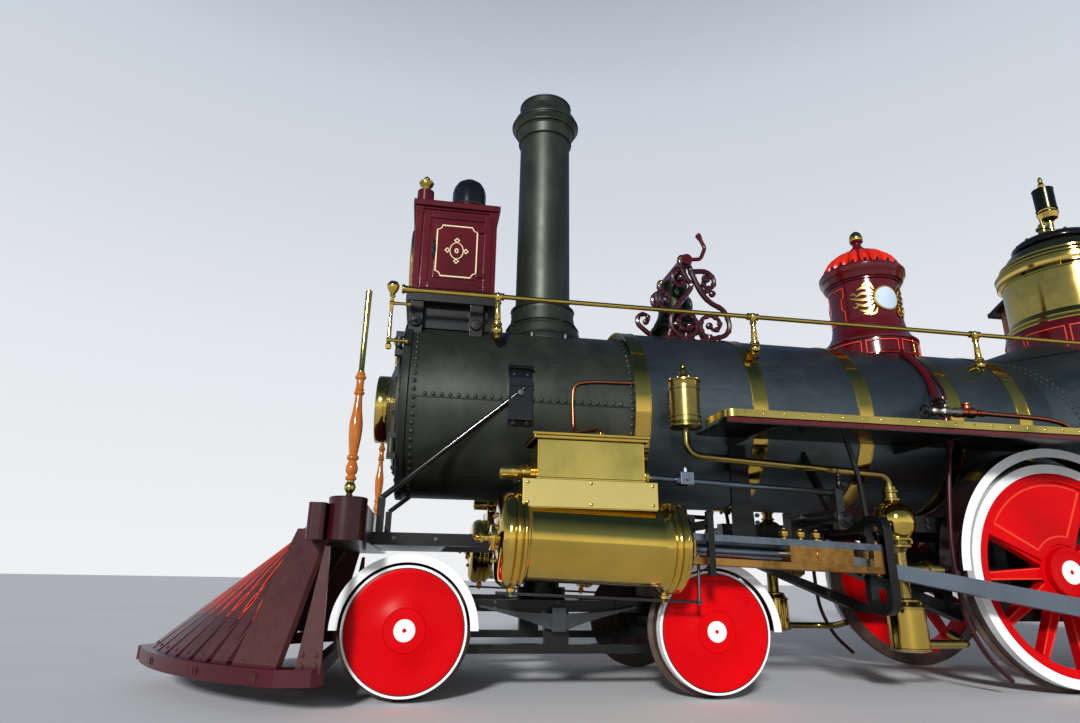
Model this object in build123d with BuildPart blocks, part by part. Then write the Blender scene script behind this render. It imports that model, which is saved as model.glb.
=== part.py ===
from build123d import *
import math
import os

os.makedirs("parts", exist_ok=True)

# A standard-gauge passenger steam locomotive of the four-four-zero type, as built in the
# late 1860s. Millimetres. The engine faces -X, its left side is -Y, +Z is up. The floor z = 0
# is touched by the wheel flanges, x = 0 is the middle of the engine's length.

# Wheels and track
rail_z = 28  # flange depth: the rail top lies this far above a plain floor
back_to_back = 1360
tyre_width = 140
flange_width = 32
truck_radius = 330
driver_radius = 686
truck_wheelbase = 1722
driver_wheelbase = 2440
pivot_to_driver = 3252  # truck pivot to front driving axle

# Length of the engine
nose_length = 1550  # pilot nose ahead of the truck's front axle
deck_overhang = 1597  # rear deck behind the rear driving axle
tail_length = truck_wheelbase / 2 + pivot_to_driver + driver_wheelbase + deck_overhang
truck_front_x = (nose_length - tail_length) / 2
truck_rear_x = truck_front_x + truck_wheelbase
pivot_x = truck_front_x + truck_wheelbase / 2
front_driver_x = pivot_x + pivot_to_driver
rear_driver_x = front_driver_x + driver_wheelbase
truck_z = rail_z + truck_radius
driver_z = rail_z + driver_radius

# Frames
frame_inner = 470
frame_width = 100
frame_outer = frame_inner + frame_width
front_rail_z = rail_z + 771
front_rail_height = 70
main_rail_z = rail_z + 930
main_rail_height = 100
lower_rail_z = rail_z + 380
lower_rail_height = 70
main_rail_front_x = front_driver_x - 1733
frame_front_x = truck_front_x - 220
deck_rear_x = truck_front_x + tail_length
frame_rear_x = deck_rear_x - 150
jaw_half_gap = 115
jaw_width = 90

# Rods and cylinders
crank_radius = 305
crank_pin_radius = 55
crank_angle = {-1: -57, 1: 33}  # degrees from +X, left and right, a quarter turn apart
main_rod_length = 2050
wheel_face = back_to_back / 2 + tyre_width
hub_face = wheel_face + 15
side_rod_inner = hub_face + 30
side_rod_width = 60
side_rod_outer = side_rod_inner + side_rod_width
crank_pin_end = side_rod_outer + 30
main_rod_inner = crank_pin_end + 15
main_rod_width = 60
rod_plane = main_rod_inner + main_rod_width / 2
cylinder_slope = 1.8  # degrees, front end high
cylinder_radius = 212
cylinder_length = 1040
crosshead_half = 190
crosshead_stop = 90  # what the crosshead leaves free at each end of its travel
cylinder_end = main_rod_length + crank_radius + crosshead_half + crosshead_stop
cylinder_front = cylinder_end + cylinder_length  # measured forward from the driving axle
cylinder_front_x = front_driver_x - cylinder_front
yoke_reach = main_rod_length - crank_radius - crosshead_half - crosshead_stop + 8
yoke_x = front_driver_x - yoke_reach
piston_rod_radius = 32
pin_gap = 0.3

# Boiler
smokebox_radius = 592
smokebox_z = rail_z + 1691
smokebox_wall = 12
smokebox_front_x = truck_front_x - 134
smokebox_rear_x = cylinder_front_x + cylinder_length - 98
stack_x = (smokebox_front_x + smokebox_rear_x) / 2 + 219
stack_bore = 160
boiler_radius = 626
boiler_z = rail_z + 1708
barrel_rear_x = front_driver_x + 337
wagon_radius = 715
wagon_z = boiler_z + wagon_radius - boiler_radius
wagon_front_x = barrel_rear_x + 500
backhead_x = rear_driver_x - 173
firebox_half_width = 440
firebox_front_x = front_driver_x + 487
firebox_bottom_z = rail_z + 420

# Cab
cab_front_x = backhead_x - 260
cab_rear_x = backhead_x + 1400
cab_half_width = 1270
cab_wall = 40
cab_deck_z = rail_z + 1080
cab_eaves_z = rail_z + 3420
cab_crown = 260
roof_overhang = 90
roof_rear_overhang = 230
roof_thickness = 35

# Running boards and handrails
board_top_z = rail_z + 1509
board_thickness = 20
board_edge = cab_half_width - 20
board_front_x = truck_front_x + 1680
handrail_z = rail_z + 2365
handrail_y = 560
handrail_radius = 16


def write(builder, name):
    """Label a finished piece and write its STEP file."""
    builder.part.label = name
    export_step(builder.part, f"parts/{name}.step")


def side_plane(y, x=0.0, z=0.0):
    """A sketch plane seen from the left side: local x is X, local y is Z, its normal is -Y."""
    return Plane(origin=(x, y, z), x_dir=(1, 0, 0), z_dir=(0, -1, 0))


def cross_plane(x, y=0.0, z=0.0):
    """A sketch plane across the engine: local x is Y, local y is Z, its normal is +X."""
    return Plane(origin=(x, y, z), x_dir=(0, 1, 0), z_dir=(1, 0, 0))


def slab(x0, x1, y0, y1, z0, z1, mode=Mode.ADD):
    """A rectangular bar between six limits."""
    with Locations(((x0 + x1) / 2, (y0 + y1) / 2, (z0 + z1) / 2)):
        Box(abs(x1 - x0), abs(y1 - y0), abs(z1 - z0), mode=mode)


def side_slab(points, y0, y1, mode=Mode.ADD):
    """A plate with a side outline of (x, z) points, from y0 to y1."""
    with BuildSketch(side_plane(min(y0, y1))) as outline:
        with BuildLine():
            Polyline(*points, close=True)
        make_face()
    extrude(outline.sketch, amount=-abs(y1 - y0), mode=mode)


def cross_slab(points, x0, x1, mode=Mode.ADD):
    """A plate with a cross outline of (y, z) points, from x0 to x1."""
    with BuildSketch(cross_plane(x0)) as outline:
        with BuildLine():
            Polyline(*points, close=True)
        make_face()
    extrude(outline.sketch, amount=x1 - x0, mode=mode)


def turned(origin, direction, points, mode=Mode.ADD):
    """A turned piece: (distance along the axis, radius) points, closed along the axis."""
    axis = Vector(*direction).normalized()
    across = Vector(0, -1, 0) if abs(axis.Y) < 0.9 else Vector(1, 0, 0)
    with BuildSketch(Plane(origin=origin, x_dir=axis, z_dir=across)) as outline:
        with BuildLine():
            Polyline((points[0][0], 0), *points, (points[-1][0], 0), close=True)
        make_face()
    revolve(outline.sketch, axis=Axis(origin, axis), mode=mode)


def rod(start, end, radius, mode=Mode.ADD):
    """A round bar between two points."""
    reach = Vector(*end) - Vector(*start)
    with BuildSketch(Plane(origin=start, z_dir=reach)) as section:
        Circle(radius)
    extrude(section.sketch, amount=reach.length, mode=mode)


def bar(start, end, width, depth, across=(0, 1, 0)):
    """A flat bar between two points: width lies along the across direction."""
    reach = Vector(*end) - Vector(*start)
    with BuildSketch(Plane(origin=start, x_dir=across, z_dir=reach)) as section:
        Rectangle(width, depth)
    extrude(section.sketch, amount=reach.length)


def pipe(points, bends, radius):
    """A bent pipe: straight runs joined by arcs, one bend radius for each corner."""
    with BuildLine() as path:
        FilletPolyline(*points, radius=bends)
    with BuildSketch(Plane(origin=path.line @ 0, z_dir=path.line % 0)) as section:
        Circle(radius)
    sweep(section.sketch, path=path.line)


# Wheels

hub_radius = 110
truck_rim_inner = truck_radius - 55
flange_top = truck_radius + rail_z
inner_face = back_to_back / 2
wheel_hub_inner = inner_face - 15
truck_axle_radius = 65

for name, axle_x in (("truck_front", truck_front_x), ("truck_rear", truck_rear_x)):
    with BuildPart() as wheels:
        turned((axle_x, 0, truck_z), (0, 1, 0), (
            (wheel_hub_inner, hub_radius), (inner_face + 50, hub_radius + 12),
            (inner_face + 62, truck_rim_inner - 10), (inner_face, truck_rim_inner),
            (inner_face, flange_top - 6), (inner_face + 8, flange_top),
            (inner_face + 20, flange_top), (inner_face + flange_width, truck_radius + 4),
            (wheel_face, truck_radius - 3), (wheel_face, truck_rim_inner + 8),
            (wheel_face - 22, truck_rim_inner), (wheel_face - 30, hub_radius + 12),
            (hub_face, hub_radius - 30)))
        mirror(about=Plane.XZ)
    write(wheels, f"{name}_wheels")
    with BuildPart() as axle:
        rod((axle_x, -wheel_hub_inner, truck_z), (axle_x, wheel_hub_inner, truck_z),
            truck_axle_radius)
    write(axle, f"{name}_axle")

driver_axle_radius = 90
driver_hub_radius = 150
driver_rim_outer = driver_radius - 60
driver_rim_inner = driver_rim_outer - 55
spoke_count = 12
spoke_depth = 62
counterweight_span = 66  # degrees of rim that the counterweight covers
counterweight_inner = driver_hub_radius + 25

for name, axle_x in (("front_driver", front_driver_x), ("rear_driver", rear_driver_x)):
    with BuildPart() as centres:
        for side in (-1, 1):
            rim_middle = side * (wheel_face - tyre_width / 2)
            for y0, y1, outer, inner in (
                    (inner_face + 12, wheel_face - 8, driver_rim_outer, driver_rim_inner),
                    (wheel_hub_inner, hub_face, driver_hub_radius, 0)):
                with BuildSketch(side_plane(side * y0, axle_x, driver_z)):
                    Circle(outer)
                    if inner:
                        Circle(inner, mode=Mode.SUBTRACT)
                extrude(amount=-side * (y1 - y0))
            spoke_plane = side_plane(rim_middle - spoke_depth / 2, axle_x, driver_z)
            with BuildSketch(spoke_plane):
                with PolarLocations(0, spoke_count, start_angle=crank_angle[side]):
                    Polygon((driver_hub_radius - 25, -38), (driver_rim_inner + 12, -25),
                            (driver_rim_inner + 12, 25), (driver_hub_radius - 25, 38), align=None)
            extrude(amount=-spoke_depth)
            weight_angle = crank_angle[side] + 180
            with BuildSketch(side_plane(side * (inner_face + 20), axle_x, driver_z)):
                with BuildLine():
                    start = weight_angle - counterweight_span / 2
                    CenterArc((0, 0), driver_rim_inner + 12, start, counterweight_span)
                    CenterArc((0, 0), counterweight_inner, start, counterweight_span)
                    for angle in (start, start + counterweight_span):
                        Line(Vector(counterweight_inner, 0).rotate(Axis.Z, angle),
                             Vector(driver_rim_inner + 12, 0).rotate(Axis.Z, angle))
                make_face()
            extrude(amount=-side * (tyre_width - 40))
            pin = Vector(crank_radius, 0).rotate(Axis.Z, crank_angle[side])
            with BuildSketch(side_plane(side * (inner_face + 30), axle_x, driver_z)):
                with Locations(pin):
                    Circle(95)
                with Locations(pin * 0.5):
                    Rectangle(crank_radius, 190, rotation=crank_angle[side])
            extrude(amount=-side * (hub_face - inner_face - 30))
            with BuildSketch(side_plane(side * hub_face, axle_x, driver_z)):
                with Locations(pin):
                    Circle(crank_pin_radius)
            extrude(amount=-side * (crank_pin_end - hub_face))
    write(centres, f"{name}_centres")
    with BuildPart() as tyres:
        with BuildSketch(cross_plane(axle_x, 0, driver_z)) as tyre_section:
            with BuildLine():
                Polyline((inner_face, driver_rim_outer), (inner_face, driver_radius + 22),
                         (inner_face + 8, driver_radius + rail_z),
                         (inner_face + 20, driver_radius + rail_z),
                         (inner_face + flange_width, driver_radius + 4),
                         (wheel_face, driver_radius - 3), (wheel_face, driver_rim_outer),
                         close=True)
            make_face()
        revolve(tyre_section.sketch, axis=Axis((axle_x, 0, driver_z), (0, 1, 0)))
        mirror(about=Plane.XZ)
    write(tyres, f"{name}_tyres")
    with BuildPart() as axle:
        rod((axle_x, -wheel_hub_inner, driver_z), (axle_x, wheel_hub_inner, driver_z),
            driver_axle_radius)
    write(axle, f"{name}_axle")

# Slide line: the cylinders' axis points down to the front driving axle.

slide = Vector(math.cos(math.radians(cylinder_slope)), 0, -math.sin(math.radians(cylinder_slope)))


def on_slide(reach, side, rise=0.0, shift=0.0):
    """A point on a side's cylinder axis, its reach measured forward from the driving axle."""
    lift = Vector(-slide.Z, 0, slide.X) * rise
    at = Vector(front_driver_x, side * (rod_plane + shift), driver_z) - slide * reach + lift
    return (at.X, at.Y, at.Z)


def crosshead_reach(side):
    """The crosshead pin's distance from the driving axle, at rest."""
    swing = math.radians(crank_angle[side])
    pin = Vector(math.cos(swing), 0, math.sin(swing)) * crank_radius
    along = -pin.dot(slide)
    across = pin.dot(Vector(-slide.Z, 0, slide.X))
    return along + math.sqrt(main_rod_length ** 2 - across ** 2)


# Cylinders, steam chests and the saddle between them

cover_rim = 250
rear_head_radius = 190
gland_length = 34
bore_depth = 980
with BuildPart() as cylinders:
    for side in (-1, 1):
        turned(on_slide(cylinder_front, side), slide, (
            (-28, 62), (-28 + 8, 70), (0, 70), (0, cover_rim), (42, cover_rim),
            (46, cylinder_radius + 22), (84, cylinder_radius + 22), (90, cylinder_radius),
            (cylinder_length - 110, cylinder_radius),
            (cylinder_length - 104, cylinder_radius + 24),
            (cylinder_length - 62, cylinder_radius + 24),
            (cylinder_length - 58, rear_head_radius), (cylinder_length, rear_head_radius),
            (cylinder_length, 62), (cylinder_length + gland_length, 62)))
        rod(on_slide(cylinder_front - cylinder_length - gland_length, side),
            on_slide(cylinder_front - cylinder_length + bore_depth, side),
            piston_rod_radius + pin_gap, mode=Mode.SUBTRACT)
write(cylinders, "cylinders")

chest_front_x = cylinder_front_x + 208
chest_rear_x = cylinder_front_x + cylinder_length - 250
chest_z = rail_z + 1100
chest_top_z = rail_z + 1320
chest_outer = 1125
chest_inner = 835
plate_front_x = cylinder_front_x + 125
plate_rear_x = cylinder_front_x + cylinder_length - 188
plate_z = rail_z + 952
valve_rod_z = rail_z + 1160
valve_rod_y = 950
with BuildPart() as steam_chests:
    for side in (-1, 1):
        slab(plate_front_x, plate_rear_x, side * chest_inner, side * (chest_outer + 28),
             plate_z, chest_z)
        slab(chest_front_x, chest_rear_x, side * chest_inner, side * chest_outer,
             chest_z, chest_top_z)
        slab(chest_front_x - 20, chest_rear_x + 20, side * (chest_inner - 20),
             side * (chest_outer + 18), chest_top_z, chest_top_z + 25)
        for x0, x1 in ((chest_front_x - 185, chest_front_x), (chest_rear_x, chest_rear_x + 70)):
            rod((x0, side * valve_rod_y, valve_rod_z), (x1, side * valve_rod_y, valve_rod_z), 42)
        rod(on_slide(cylinder_front, side), on_slide(cylinder_front - cylinder_length, side),
            cylinder_radius, mode=Mode.SUBTRACT)
write(steam_chests, "steam_chests")

saddle_front_x = cylinder_front_x + 162
saddle_rear_x = cylinder_front_x + cylinder_length - 168
saddle_half_width = 620
frame_top_z = front_rail_z + front_rail_height
centre_pin_radius = 120
centre_plate_z = rail_z + 545
with BuildPart() as saddle:
    cross_slab(((-saddle_half_width, frame_top_z), (saddle_half_width, frame_top_z),
                (saddle_half_width, frame_top_z + 160), (430, frame_top_z + 330),
                (430, smokebox_z - 380), (-430, smokebox_z - 380), (-430, frame_top_z + 330),
                (-saddle_half_width, frame_top_z + 160)), saddle_front_x, saddle_rear_x)
    slab(saddle_front_x, saddle_rear_x, -frame_inner, frame_inner, front_rail_z, frame_top_z)
    rod((pivot_x, 0, centre_plate_z), (pivot_x, 0, front_rail_z), centre_pin_radius)
    for side in (-1, 1):
        slab(saddle_front_x, saddle_rear_x, side * frame_outer, side * rod_plane,
             frame_top_z - 150, frame_top_z + 90)
        rod(on_slide(cylinder_front + 50, side),
            on_slide(cylinder_front - cylinder_length - 50, side), cylinder_radius,
            mode=Mode.SUBTRACT)
        slab(saddle_front_x - 1, saddle_rear_x + 1, side * chest_inner, side * 1200,
             plate_z, plate_z + 300, mode=Mode.SUBTRACT)
    rod((smokebox_front_x, 0, smokebox_z), (smokebox_rear_x, 0, smokebox_z), smokebox_radius,
        mode=Mode.SUBTRACT)
write(saddle, "cylinder_saddle")

# Crossheads, guides, yokes and rods

guide_gap = 44  # half the height of the slipper between upper and lower bars
guide_height = 36
guide_width = 50
rod_slot = 45  # half the width of the slot that the main rod swings in
yoke_thickness = 45
slipper_gap = 0.5
crosshead_pin_radius = 32
with BuildPart() as guides:
    for side in (-1, 1):
        for shift in (-rod_slot - guide_width / 2, rod_slot + guide_width / 2):
            for rise in (-guide_gap - guide_height / 2, guide_gap + guide_height / 2):
                start = on_slide(cylinder_end, side, rise, shift)
                end = on_slide(yoke_reach + 4, side, rise, shift)
                bar(start, end, guide_width, guide_height)
    slab(yoke_x, yoke_x + 100, -1200, 1200, rail_z + 500, rail_z + 1000, mode=Mode.SUBTRACT)
write(guides, "crosshead_guides")

yoke_bottom_z = rail_z + 430
yoke_top_z = rail_z + 1110
yoke_rim = 55  # the plate left outside the guides and around the slot
yoke_inner = rod_plane - rod_slot - guide_width - yoke_rim
yoke_outer = rod_plane + rod_slot + guide_width + yoke_rim
with BuildPart() as yokes:
    for side in (-1, 1):
        middle_y = side * (yoke_inner + yoke_outer) / 2
        middle_z = (yoke_bottom_z + yoke_top_z) / 2
        with BuildSketch(cross_plane(yoke_x, middle_y, middle_z)) as plate:
            RectangleRounded(yoke_outer - yoke_inner, yoke_top_z - yoke_bottom_z, 110)
            RectangleRounded(2 * rod_slot, yoke_top_z - yoke_bottom_z - 190, 40,
                             mode=Mode.SUBTRACT)
        extrude(plate.sketch, amount=yoke_thickness)
        slab(yoke_x, yoke_x + yoke_thickness, side * frame_outer, side * (yoke_inner + 20),
             main_rail_z - 30, yoke_top_z - 110)
        bar((yoke_x + yoke_thickness / 2, side * 640, yoke_top_z - 130),
            (yoke_x - 150, side * 520, boiler_z - 240), 60, yoke_thickness,
            across=(0, 1, 0))
    rod((smokebox_rear_x, 0, boiler_z), (barrel_rear_x, 0, boiler_z), boiler_radius,
        mode=Mode.SUBTRACT)
write(yokes, "guide_yokes")

eye_thickness = main_rod_width - 10
for side, name in ((-1, "left"), (1, "right")):
    pin_reach = crosshead_reach(side)
    pin_at = Vector(*on_slide(pin_reach, side))
    with BuildPart() as crosshead:
        for shift in (-1, 1):
            middle = shift * (eye_thickness / 2 + 6 + 34)
            bar(on_slide(pin_reach + crosshead_half, side, 0, middle),
                on_slide(pin_reach - crosshead_half, side, 0, middle),
                68, 2 * (guide_gap - slipper_gap))
        bar(on_slide(pin_reach + crosshead_half, side), on_slide(pin_reach + 85, side),
            84, 2 * (guide_gap - slipper_gap))
        rod((pin_at.X, side * (rod_plane - 95), pin_at.Z),
            (pin_at.X, side * (rod_plane + 105), pin_at.Z), crosshead_pin_radius)
        rod(on_slide(pin_reach + crosshead_half - 4, side),
            on_slide(pin_reach + crosshead_half + 810, side), piston_rod_radius)
    write(crosshead, f"crosshead_{name}")

    swing = math.radians(crank_angle[side])
    crank_at = Vector(front_driver_x + crank_radius * math.cos(swing), side * rod_plane,
                      driver_z + crank_radius * math.sin(swing))
    reach = (crank_at - pin_at).normalized()
    rise = Vector(-reach.Z, 0, reach.X)
    with BuildPart() as main_rod:
        face = Plane(origin=(pin_at.X, side * rod_plane, pin_at.Z), x_dir=reach,
                     z_dir=(0, -1, 0))
        with BuildSketch(face):
            Polygon((40, -36), (main_rod_length - 90, -56), (main_rod_length - 90, 56),
                    (40, 36), align=None)
            with Locations((main_rod_length - 20, 0)):
                RectangleRounded(300, 200, 22)
        extrude(amount=main_rod_width / 2, both=True)
        with BuildSketch(face):
            Circle(62)
        extrude(amount=eye_thickness / 2, both=True)
        slab(pin_at.X - 70, pin_at.X + 75, side * (rod_plane + eye_thickness / 2),
             side * (rod_plane + 60), pin_at.Z - 80, pin_at.Z + 80, mode=Mode.SUBTRACT)
        slab(pin_at.X - 70, pin_at.X + 75, side * (rod_plane - eye_thickness / 2),
             side * (rod_plane - 60), pin_at.Z - 80, pin_at.Z + 80, mode=Mode.SUBTRACT)
        rod((pin_at.X, side * (rod_plane - 80), pin_at.Z),
            (pin_at.X, side * (rod_plane + 80), pin_at.Z), crosshead_pin_radius + pin_gap,
            mode=Mode.SUBTRACT)
        rod((crank_at.X, side * (rod_plane + main_rod_width / 2 - 2), crank_at.Z),
            (crank_at.X, side * (rod_plane + main_rod_width / 2 + 14), crank_at.Z), 50)
    write(main_rod, f"main_rod_{name}")

    with BuildPart() as side_rod:
        with BuildSketch(side_plane(side * (side_rod_inner + side_rod_width / 2), crank_at.X,
                                    crank_at.Z)):
            with Locations((driver_wheelbase / 2, 0)):
                Rectangle(driver_wheelbase - 100, 84)
            with Locations((0, 0), (driver_wheelbase, 0)):
                Circle(92)
            with Locations((0, 0), (driver_wheelbase, 0)):
                Circle(crank_pin_radius + pin_gap, mode=Mode.SUBTRACT)
        extrude(amount=side_rod_width / 2, both=True)
    write(side_rod, f"side_rod_{name}")

# Frames: bar frames with jaws round the driving boxes

for side, name in ((-1, "left"), (1, "right")):
    y0, y1 = side * frame_inner, side * frame_outer
    with BuildPart() as frame:
        slab(frame_front_x, main_rail_front_x + 220, y0, y1, front_rail_z, frame_top_z)
        slab(main_rail_front_x, frame_rear_x, y0, y1, main_rail_z,
             main_rail_z + main_rail_height)
        slab(main_rail_front_x, main_rail_front_x + 220, y0, y1, front_rail_z, main_rail_z)
        lower_front_x = front_driver_x - 620
        lower_rear_x = rear_driver_x + 560
        slab(lower_front_x, lower_rear_x, y0, y1, lower_rail_z, lower_rail_z + lower_rail_height)
        side_slab(((main_rail_front_x + 120, front_rail_z), (main_rail_front_x + 220, front_rail_z),
                   (lower_front_x + 60, lower_rail_z + lower_rail_height - 5),
                   (lower_front_x, lower_rail_z)), y0, y1)
        side_slab(((lower_rear_x - 60, lower_rail_z + lower_rail_height - 5),
                   (lower_rear_x, lower_rail_z), (frame_rear_x - 60, main_rail_z + 5),
                   (frame_rear_x - 160, main_rail_z + 5)), y0, y1)
        for axle_x in (front_driver_x, rear_driver_x):
            for jaw in (-1, 1):
                edge = axle_x + jaw * jaw_half_gap
                slab(edge, edge + jaw * jaw_width, y0, y1, lower_rail_z, main_rail_z + 5)
            slab(axle_x - jaw_half_gap, axle_x + jaw_half_gap, y0, y1, driver_z - 150,
                 driver_z + 160)
            rod((axle_x, side * (frame_inner - 5), driver_z),
                (axle_x, side * (frame_outer + 5), driver_z), driver_axle_radius + pin_gap,
                mode=Mode.SUBTRACT)
    write(frame, f"frame_{name}")

# Springs over the driving boxes, with the equaliser between them

spring_y = (frame_inner + frame_outer) / 2
spring_z = main_rail_z + main_rail_height
leaf_half = 420
with BuildPart() as springs:
    for side in (-1, 1):
        for axle_x in (front_driver_x, rear_driver_x):
            for leaf in range(5):
                half = leaf_half - leaf * 75
                slab(axle_x - half, axle_x + half, side * (spring_y - 45), side * (spring_y + 45),
                     spring_z + 150 - leaf * 16, spring_z + 166 - leaf * 16)
            slab(axle_x - 45, axle_x + 45, side * (spring_y - 50), side * (spring_y + 50),
                 spring_z, spring_z + 172)
        for axle_x, outer in ((front_driver_x, -1), (rear_driver_x, 1)):
            slab(axle_x + outer * leaf_half, axle_x + outer * (leaf_half - 40),
                 side * (spring_y - 20), side * (spring_y + 20), spring_z, spring_z + 152)
        middle = (front_driver_x + rear_driver_x) / 2
        slab(front_driver_x + leaf_half - 40, rear_driver_x - leaf_half + 40,
             side * (spring_y - 30), side * (spring_y + 30), spring_z + 60, spring_z + 140)
        for axle_x, inner in ((front_driver_x, 1), (rear_driver_x, -1)):
            slab(axle_x + inner * leaf_half, axle_x + inner * (leaf_half - 40),
                 side * (spring_y - 20), side * (spring_y + 20), spring_z + 60, spring_z + 152)
        slab(middle - 50, middle + 50, side * (spring_y - 30), side * (spring_y + 30),
             spring_z, spring_z + 100)
write(springs, "driving_springs")

# Leading truck

truck_frame_inner = 500
truck_frame_outer = 565
truck_bar_z = rail_z + 415
truck_bar_height = 65
with BuildPart() as truck:
    for side in (-1, 1):
        y0, y1 = side * truck_frame_inner, side * truck_frame_outer
        slab(truck_front_x - 150, truck_rear_x + 150, y0, y1, truck_bar_z,
             truck_bar_z + truck_bar_height)
        slab(truck_front_x + 240, truck_rear_x - 240, y0, y1, truck_z - 140, truck_z - 90)
        for axle_x in (truck_front_x, truck_rear_x):
            slab(axle_x - 110, axle_x + 110, y0, y1, truck_z - 130, truck_bar_z)
            rod((axle_x, side * 480, truck_z), (axle_x, side * 580, truck_z),
                truck_axle_radius + pin_gap, mode=Mode.SUBTRACT)
        for axle_x, inner in ((truck_front_x, 1), (truck_rear_x, -1)):
            slab(axle_x + inner * 105, axle_x + inner * 260, y0, y1, truck_z - 140, truck_z - 90)
        slab(pivot_x - 70, pivot_x + 70, y0, y1, truck_z - 100, truck_bar_z)
    slab(pivot_x - 190, pivot_x + 190, -truck_frame_outer, truck_frame_outer,
         truck_bar_z + 5, truck_bar_z + truck_bar_height)
    rod((pivot_x, 0, truck_bar_z), (pivot_x, 0, centre_plate_z - pin_gap), centre_pin_radius + 40)
    for end_x in (truck_front_x - 150, truck_rear_x + 80):
        slab(end_x, end_x + 70, -truck_frame_outer, truck_frame_outer, truck_bar_z,
             truck_bar_z + truck_bar_height)
write(truck, "truck_frame")

fender_outer = truck_radius + 55
fender_skin = 8
fender_face = wheel_face + 25
with BuildPart() as fenders:
    for side in (-1, 1):
        for axle_x, start, sweep_angle in ((truck_front_x, 0, 180), (truck_rear_x, 0, 112)):
            for y0, y1, inner in ((inner_face - 20, fender_face, fender_outer - fender_skin),
                                  (wheel_face + 10, fender_face, truck_radius + 12)):
                with BuildSketch(side_plane(side * y0, axle_x, truck_z)) as arch:
                    with BuildLine():
                        CenterArc((0, 0), fender_outer, start, sweep_angle)
                        CenterArc((0, 0), inner, start, sweep_angle)
                        for angle in (start, start + sweep_angle):
                            Line(Vector(inner, 0).rotate(Axis.Z, angle),
                                 Vector(fender_outer, 0).rotate(Axis.Z, angle))
                    make_face()
                extrude(arch.sketch, amount=-side * (y1 - y0))
            slab(axle_x - 30, axle_x + 30, side * truck_frame_outer, side * (inner_face - 20),
                 truck_bar_z + 10, truck_z + fender_outer - 3)
write(fenders, "truck_fenders")

# Covers over the driving wheels, hung from the running boards

cover_outer = driver_radius + 97
cover_face = side_rod_inner - 12
with BuildPart() as covers:
    for side in (-1, 1):
        for axle_x in (front_driver_x, rear_driver_x):
            for y0, y1, inner in ((inner_face - 20, cover_face, cover_outer - fender_skin),
                                  (cover_face - 14, cover_face, driver_radius + 40)):
                with BuildSketch(side_plane(side * y0, axle_x, driver_z)) as arch:
                    with BuildLine():
                        CenterArc((0, 0), cover_outer, 0, 180)
                        CenterArc((0, 0), inner, 0, 180)
                        for angle in (0, 180):
                            Line(Vector(inner, 0).rotate(Axis.Z, angle),
                                 Vector(cover_outer, 0).rotate(Axis.Z, angle))
                    make_face()
                extrude(arch.sketch, amount=-side * (y1 - y0))
            slab(axle_x - 60, axle_x + 60, side * (inner_face + 20), side * (cover_face - 20),
                 driver_z + cover_outer - 4, board_top_z - board_thickness)
write(covers, "wheel_covers")

# Boiler, smokebox and what stands on them

with BuildPart() as smokebox:
    rod((smokebox_front_x, 0, smokebox_z), (smokebox_rear_x, 0, smokebox_z), smokebox_radius)
    rod((smokebox_front_x, 0, smokebox_z), (smokebox_front_x + 48, 0, smokebox_z),
        smokebox_radius + 10)
    rod((smokebox_front_x + 30, 0, smokebox_z), (smokebox_rear_x, 0, smokebox_z),
        smokebox_radius - smokebox_wall, mode=Mode.SUBTRACT)
    rod((smokebox_front_x, 0, smokebox_z), (smokebox_front_x + 60, 0, smokebox_z), 400,
        mode=Mode.SUBTRACT)
    rod((stack_x, 0, smokebox_z), (stack_x, 0, smokebox_z + smokebox_radius + 20), stack_bore,
        mode=Mode.SUBTRACT)
write(smokebox, "smokebox")

door_radius = 445
door_hinge_y = -door_radius - 25
door_thickness = 24
hinge_rise = 330  # the hinge straps lie this far above and below the door's middle
door_seat = 0.3
door_x = smokebox_front_x - 2
badge_radius = 230
with BuildPart() as smokebox_door:
    turned((door_x, 0, smokebox_z), (-1, 0, 0), (
        (0, door_radius), (door_thickness, door_radius), (60, 300), (85, badge_radius),
        (160, badge_radius), (168, badge_radius - 14), (168, badge_radius - 30),
        (156, badge_radius - 40)))
    for z in (-hinge_rise, hinge_rise):
        y_edge = -math.sqrt(door_radius ** 2 - z ** 2)
        slab(door_x - 18, door_x - door_thickness - 20, door_hinge_y, y_edge + 130,
             smokebox_z + z - 28, smokebox_z + z + 28)
    for z in (-hinge_rise, hinge_rise):
        rod((door_x - 30, door_hinge_y, smokebox_z + z - 45),
            (door_x - 30, door_hinge_y, smokebox_z + z + 45), 22)
        rod((door_x - 30, door_hinge_y, smokebox_z + z - 46),
            (door_x - 30, door_hinge_y, smokebox_z + z + 46), 10 + pin_gap,
            mode=Mode.SUBTRACT)
write(smokebox_door, "smokebox_door")

with BuildPart() as door_hinges:
    for z in (-hinge_rise, hinge_rise):
        rod((door_x - 30, door_hinge_y, smokebox_z + z - 75),
            (door_x - 30, door_hinge_y, smokebox_z + z + 75), 10)
        for end in (-1, 1):
            slab(door_x - 52, smokebox_front_x, door_hinge_y - 22, door_hinge_y + 22,
                 smokebox_z + z + end * 46, smokebox_z + z + end * 80)
write(door_hinges, "smokebox_door_hinges")

stack_top_z = rail_z + 4305
with BuildPart() as stack:
    turned((stack_x, 0, rail_z), (0, 0, 1), (
        (2090, 330), (2330, 265), (2352, 245), (2470, 228), (2500, 228), (2500, 204),
        (3950, 197), (3962, 208), (4040, 216), (4075, 240), (4100, 262), (4125, 264),
        (4160, 250), (4205, 222), (4245, 208), (stack_top_z - rail_z, 204)))
    rod((stack_x, 0, smokebox_z), (stack_x, 0, stack_top_z + 10), stack_bore,
        mode=Mode.SUBTRACT)
    rod((smokebox_front_x, 0, smokebox_z), (smokebox_rear_x, 0, smokebox_z), smokebox_radius,
        mode=Mode.SUBTRACT)
write(stack, "smokestack")

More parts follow.
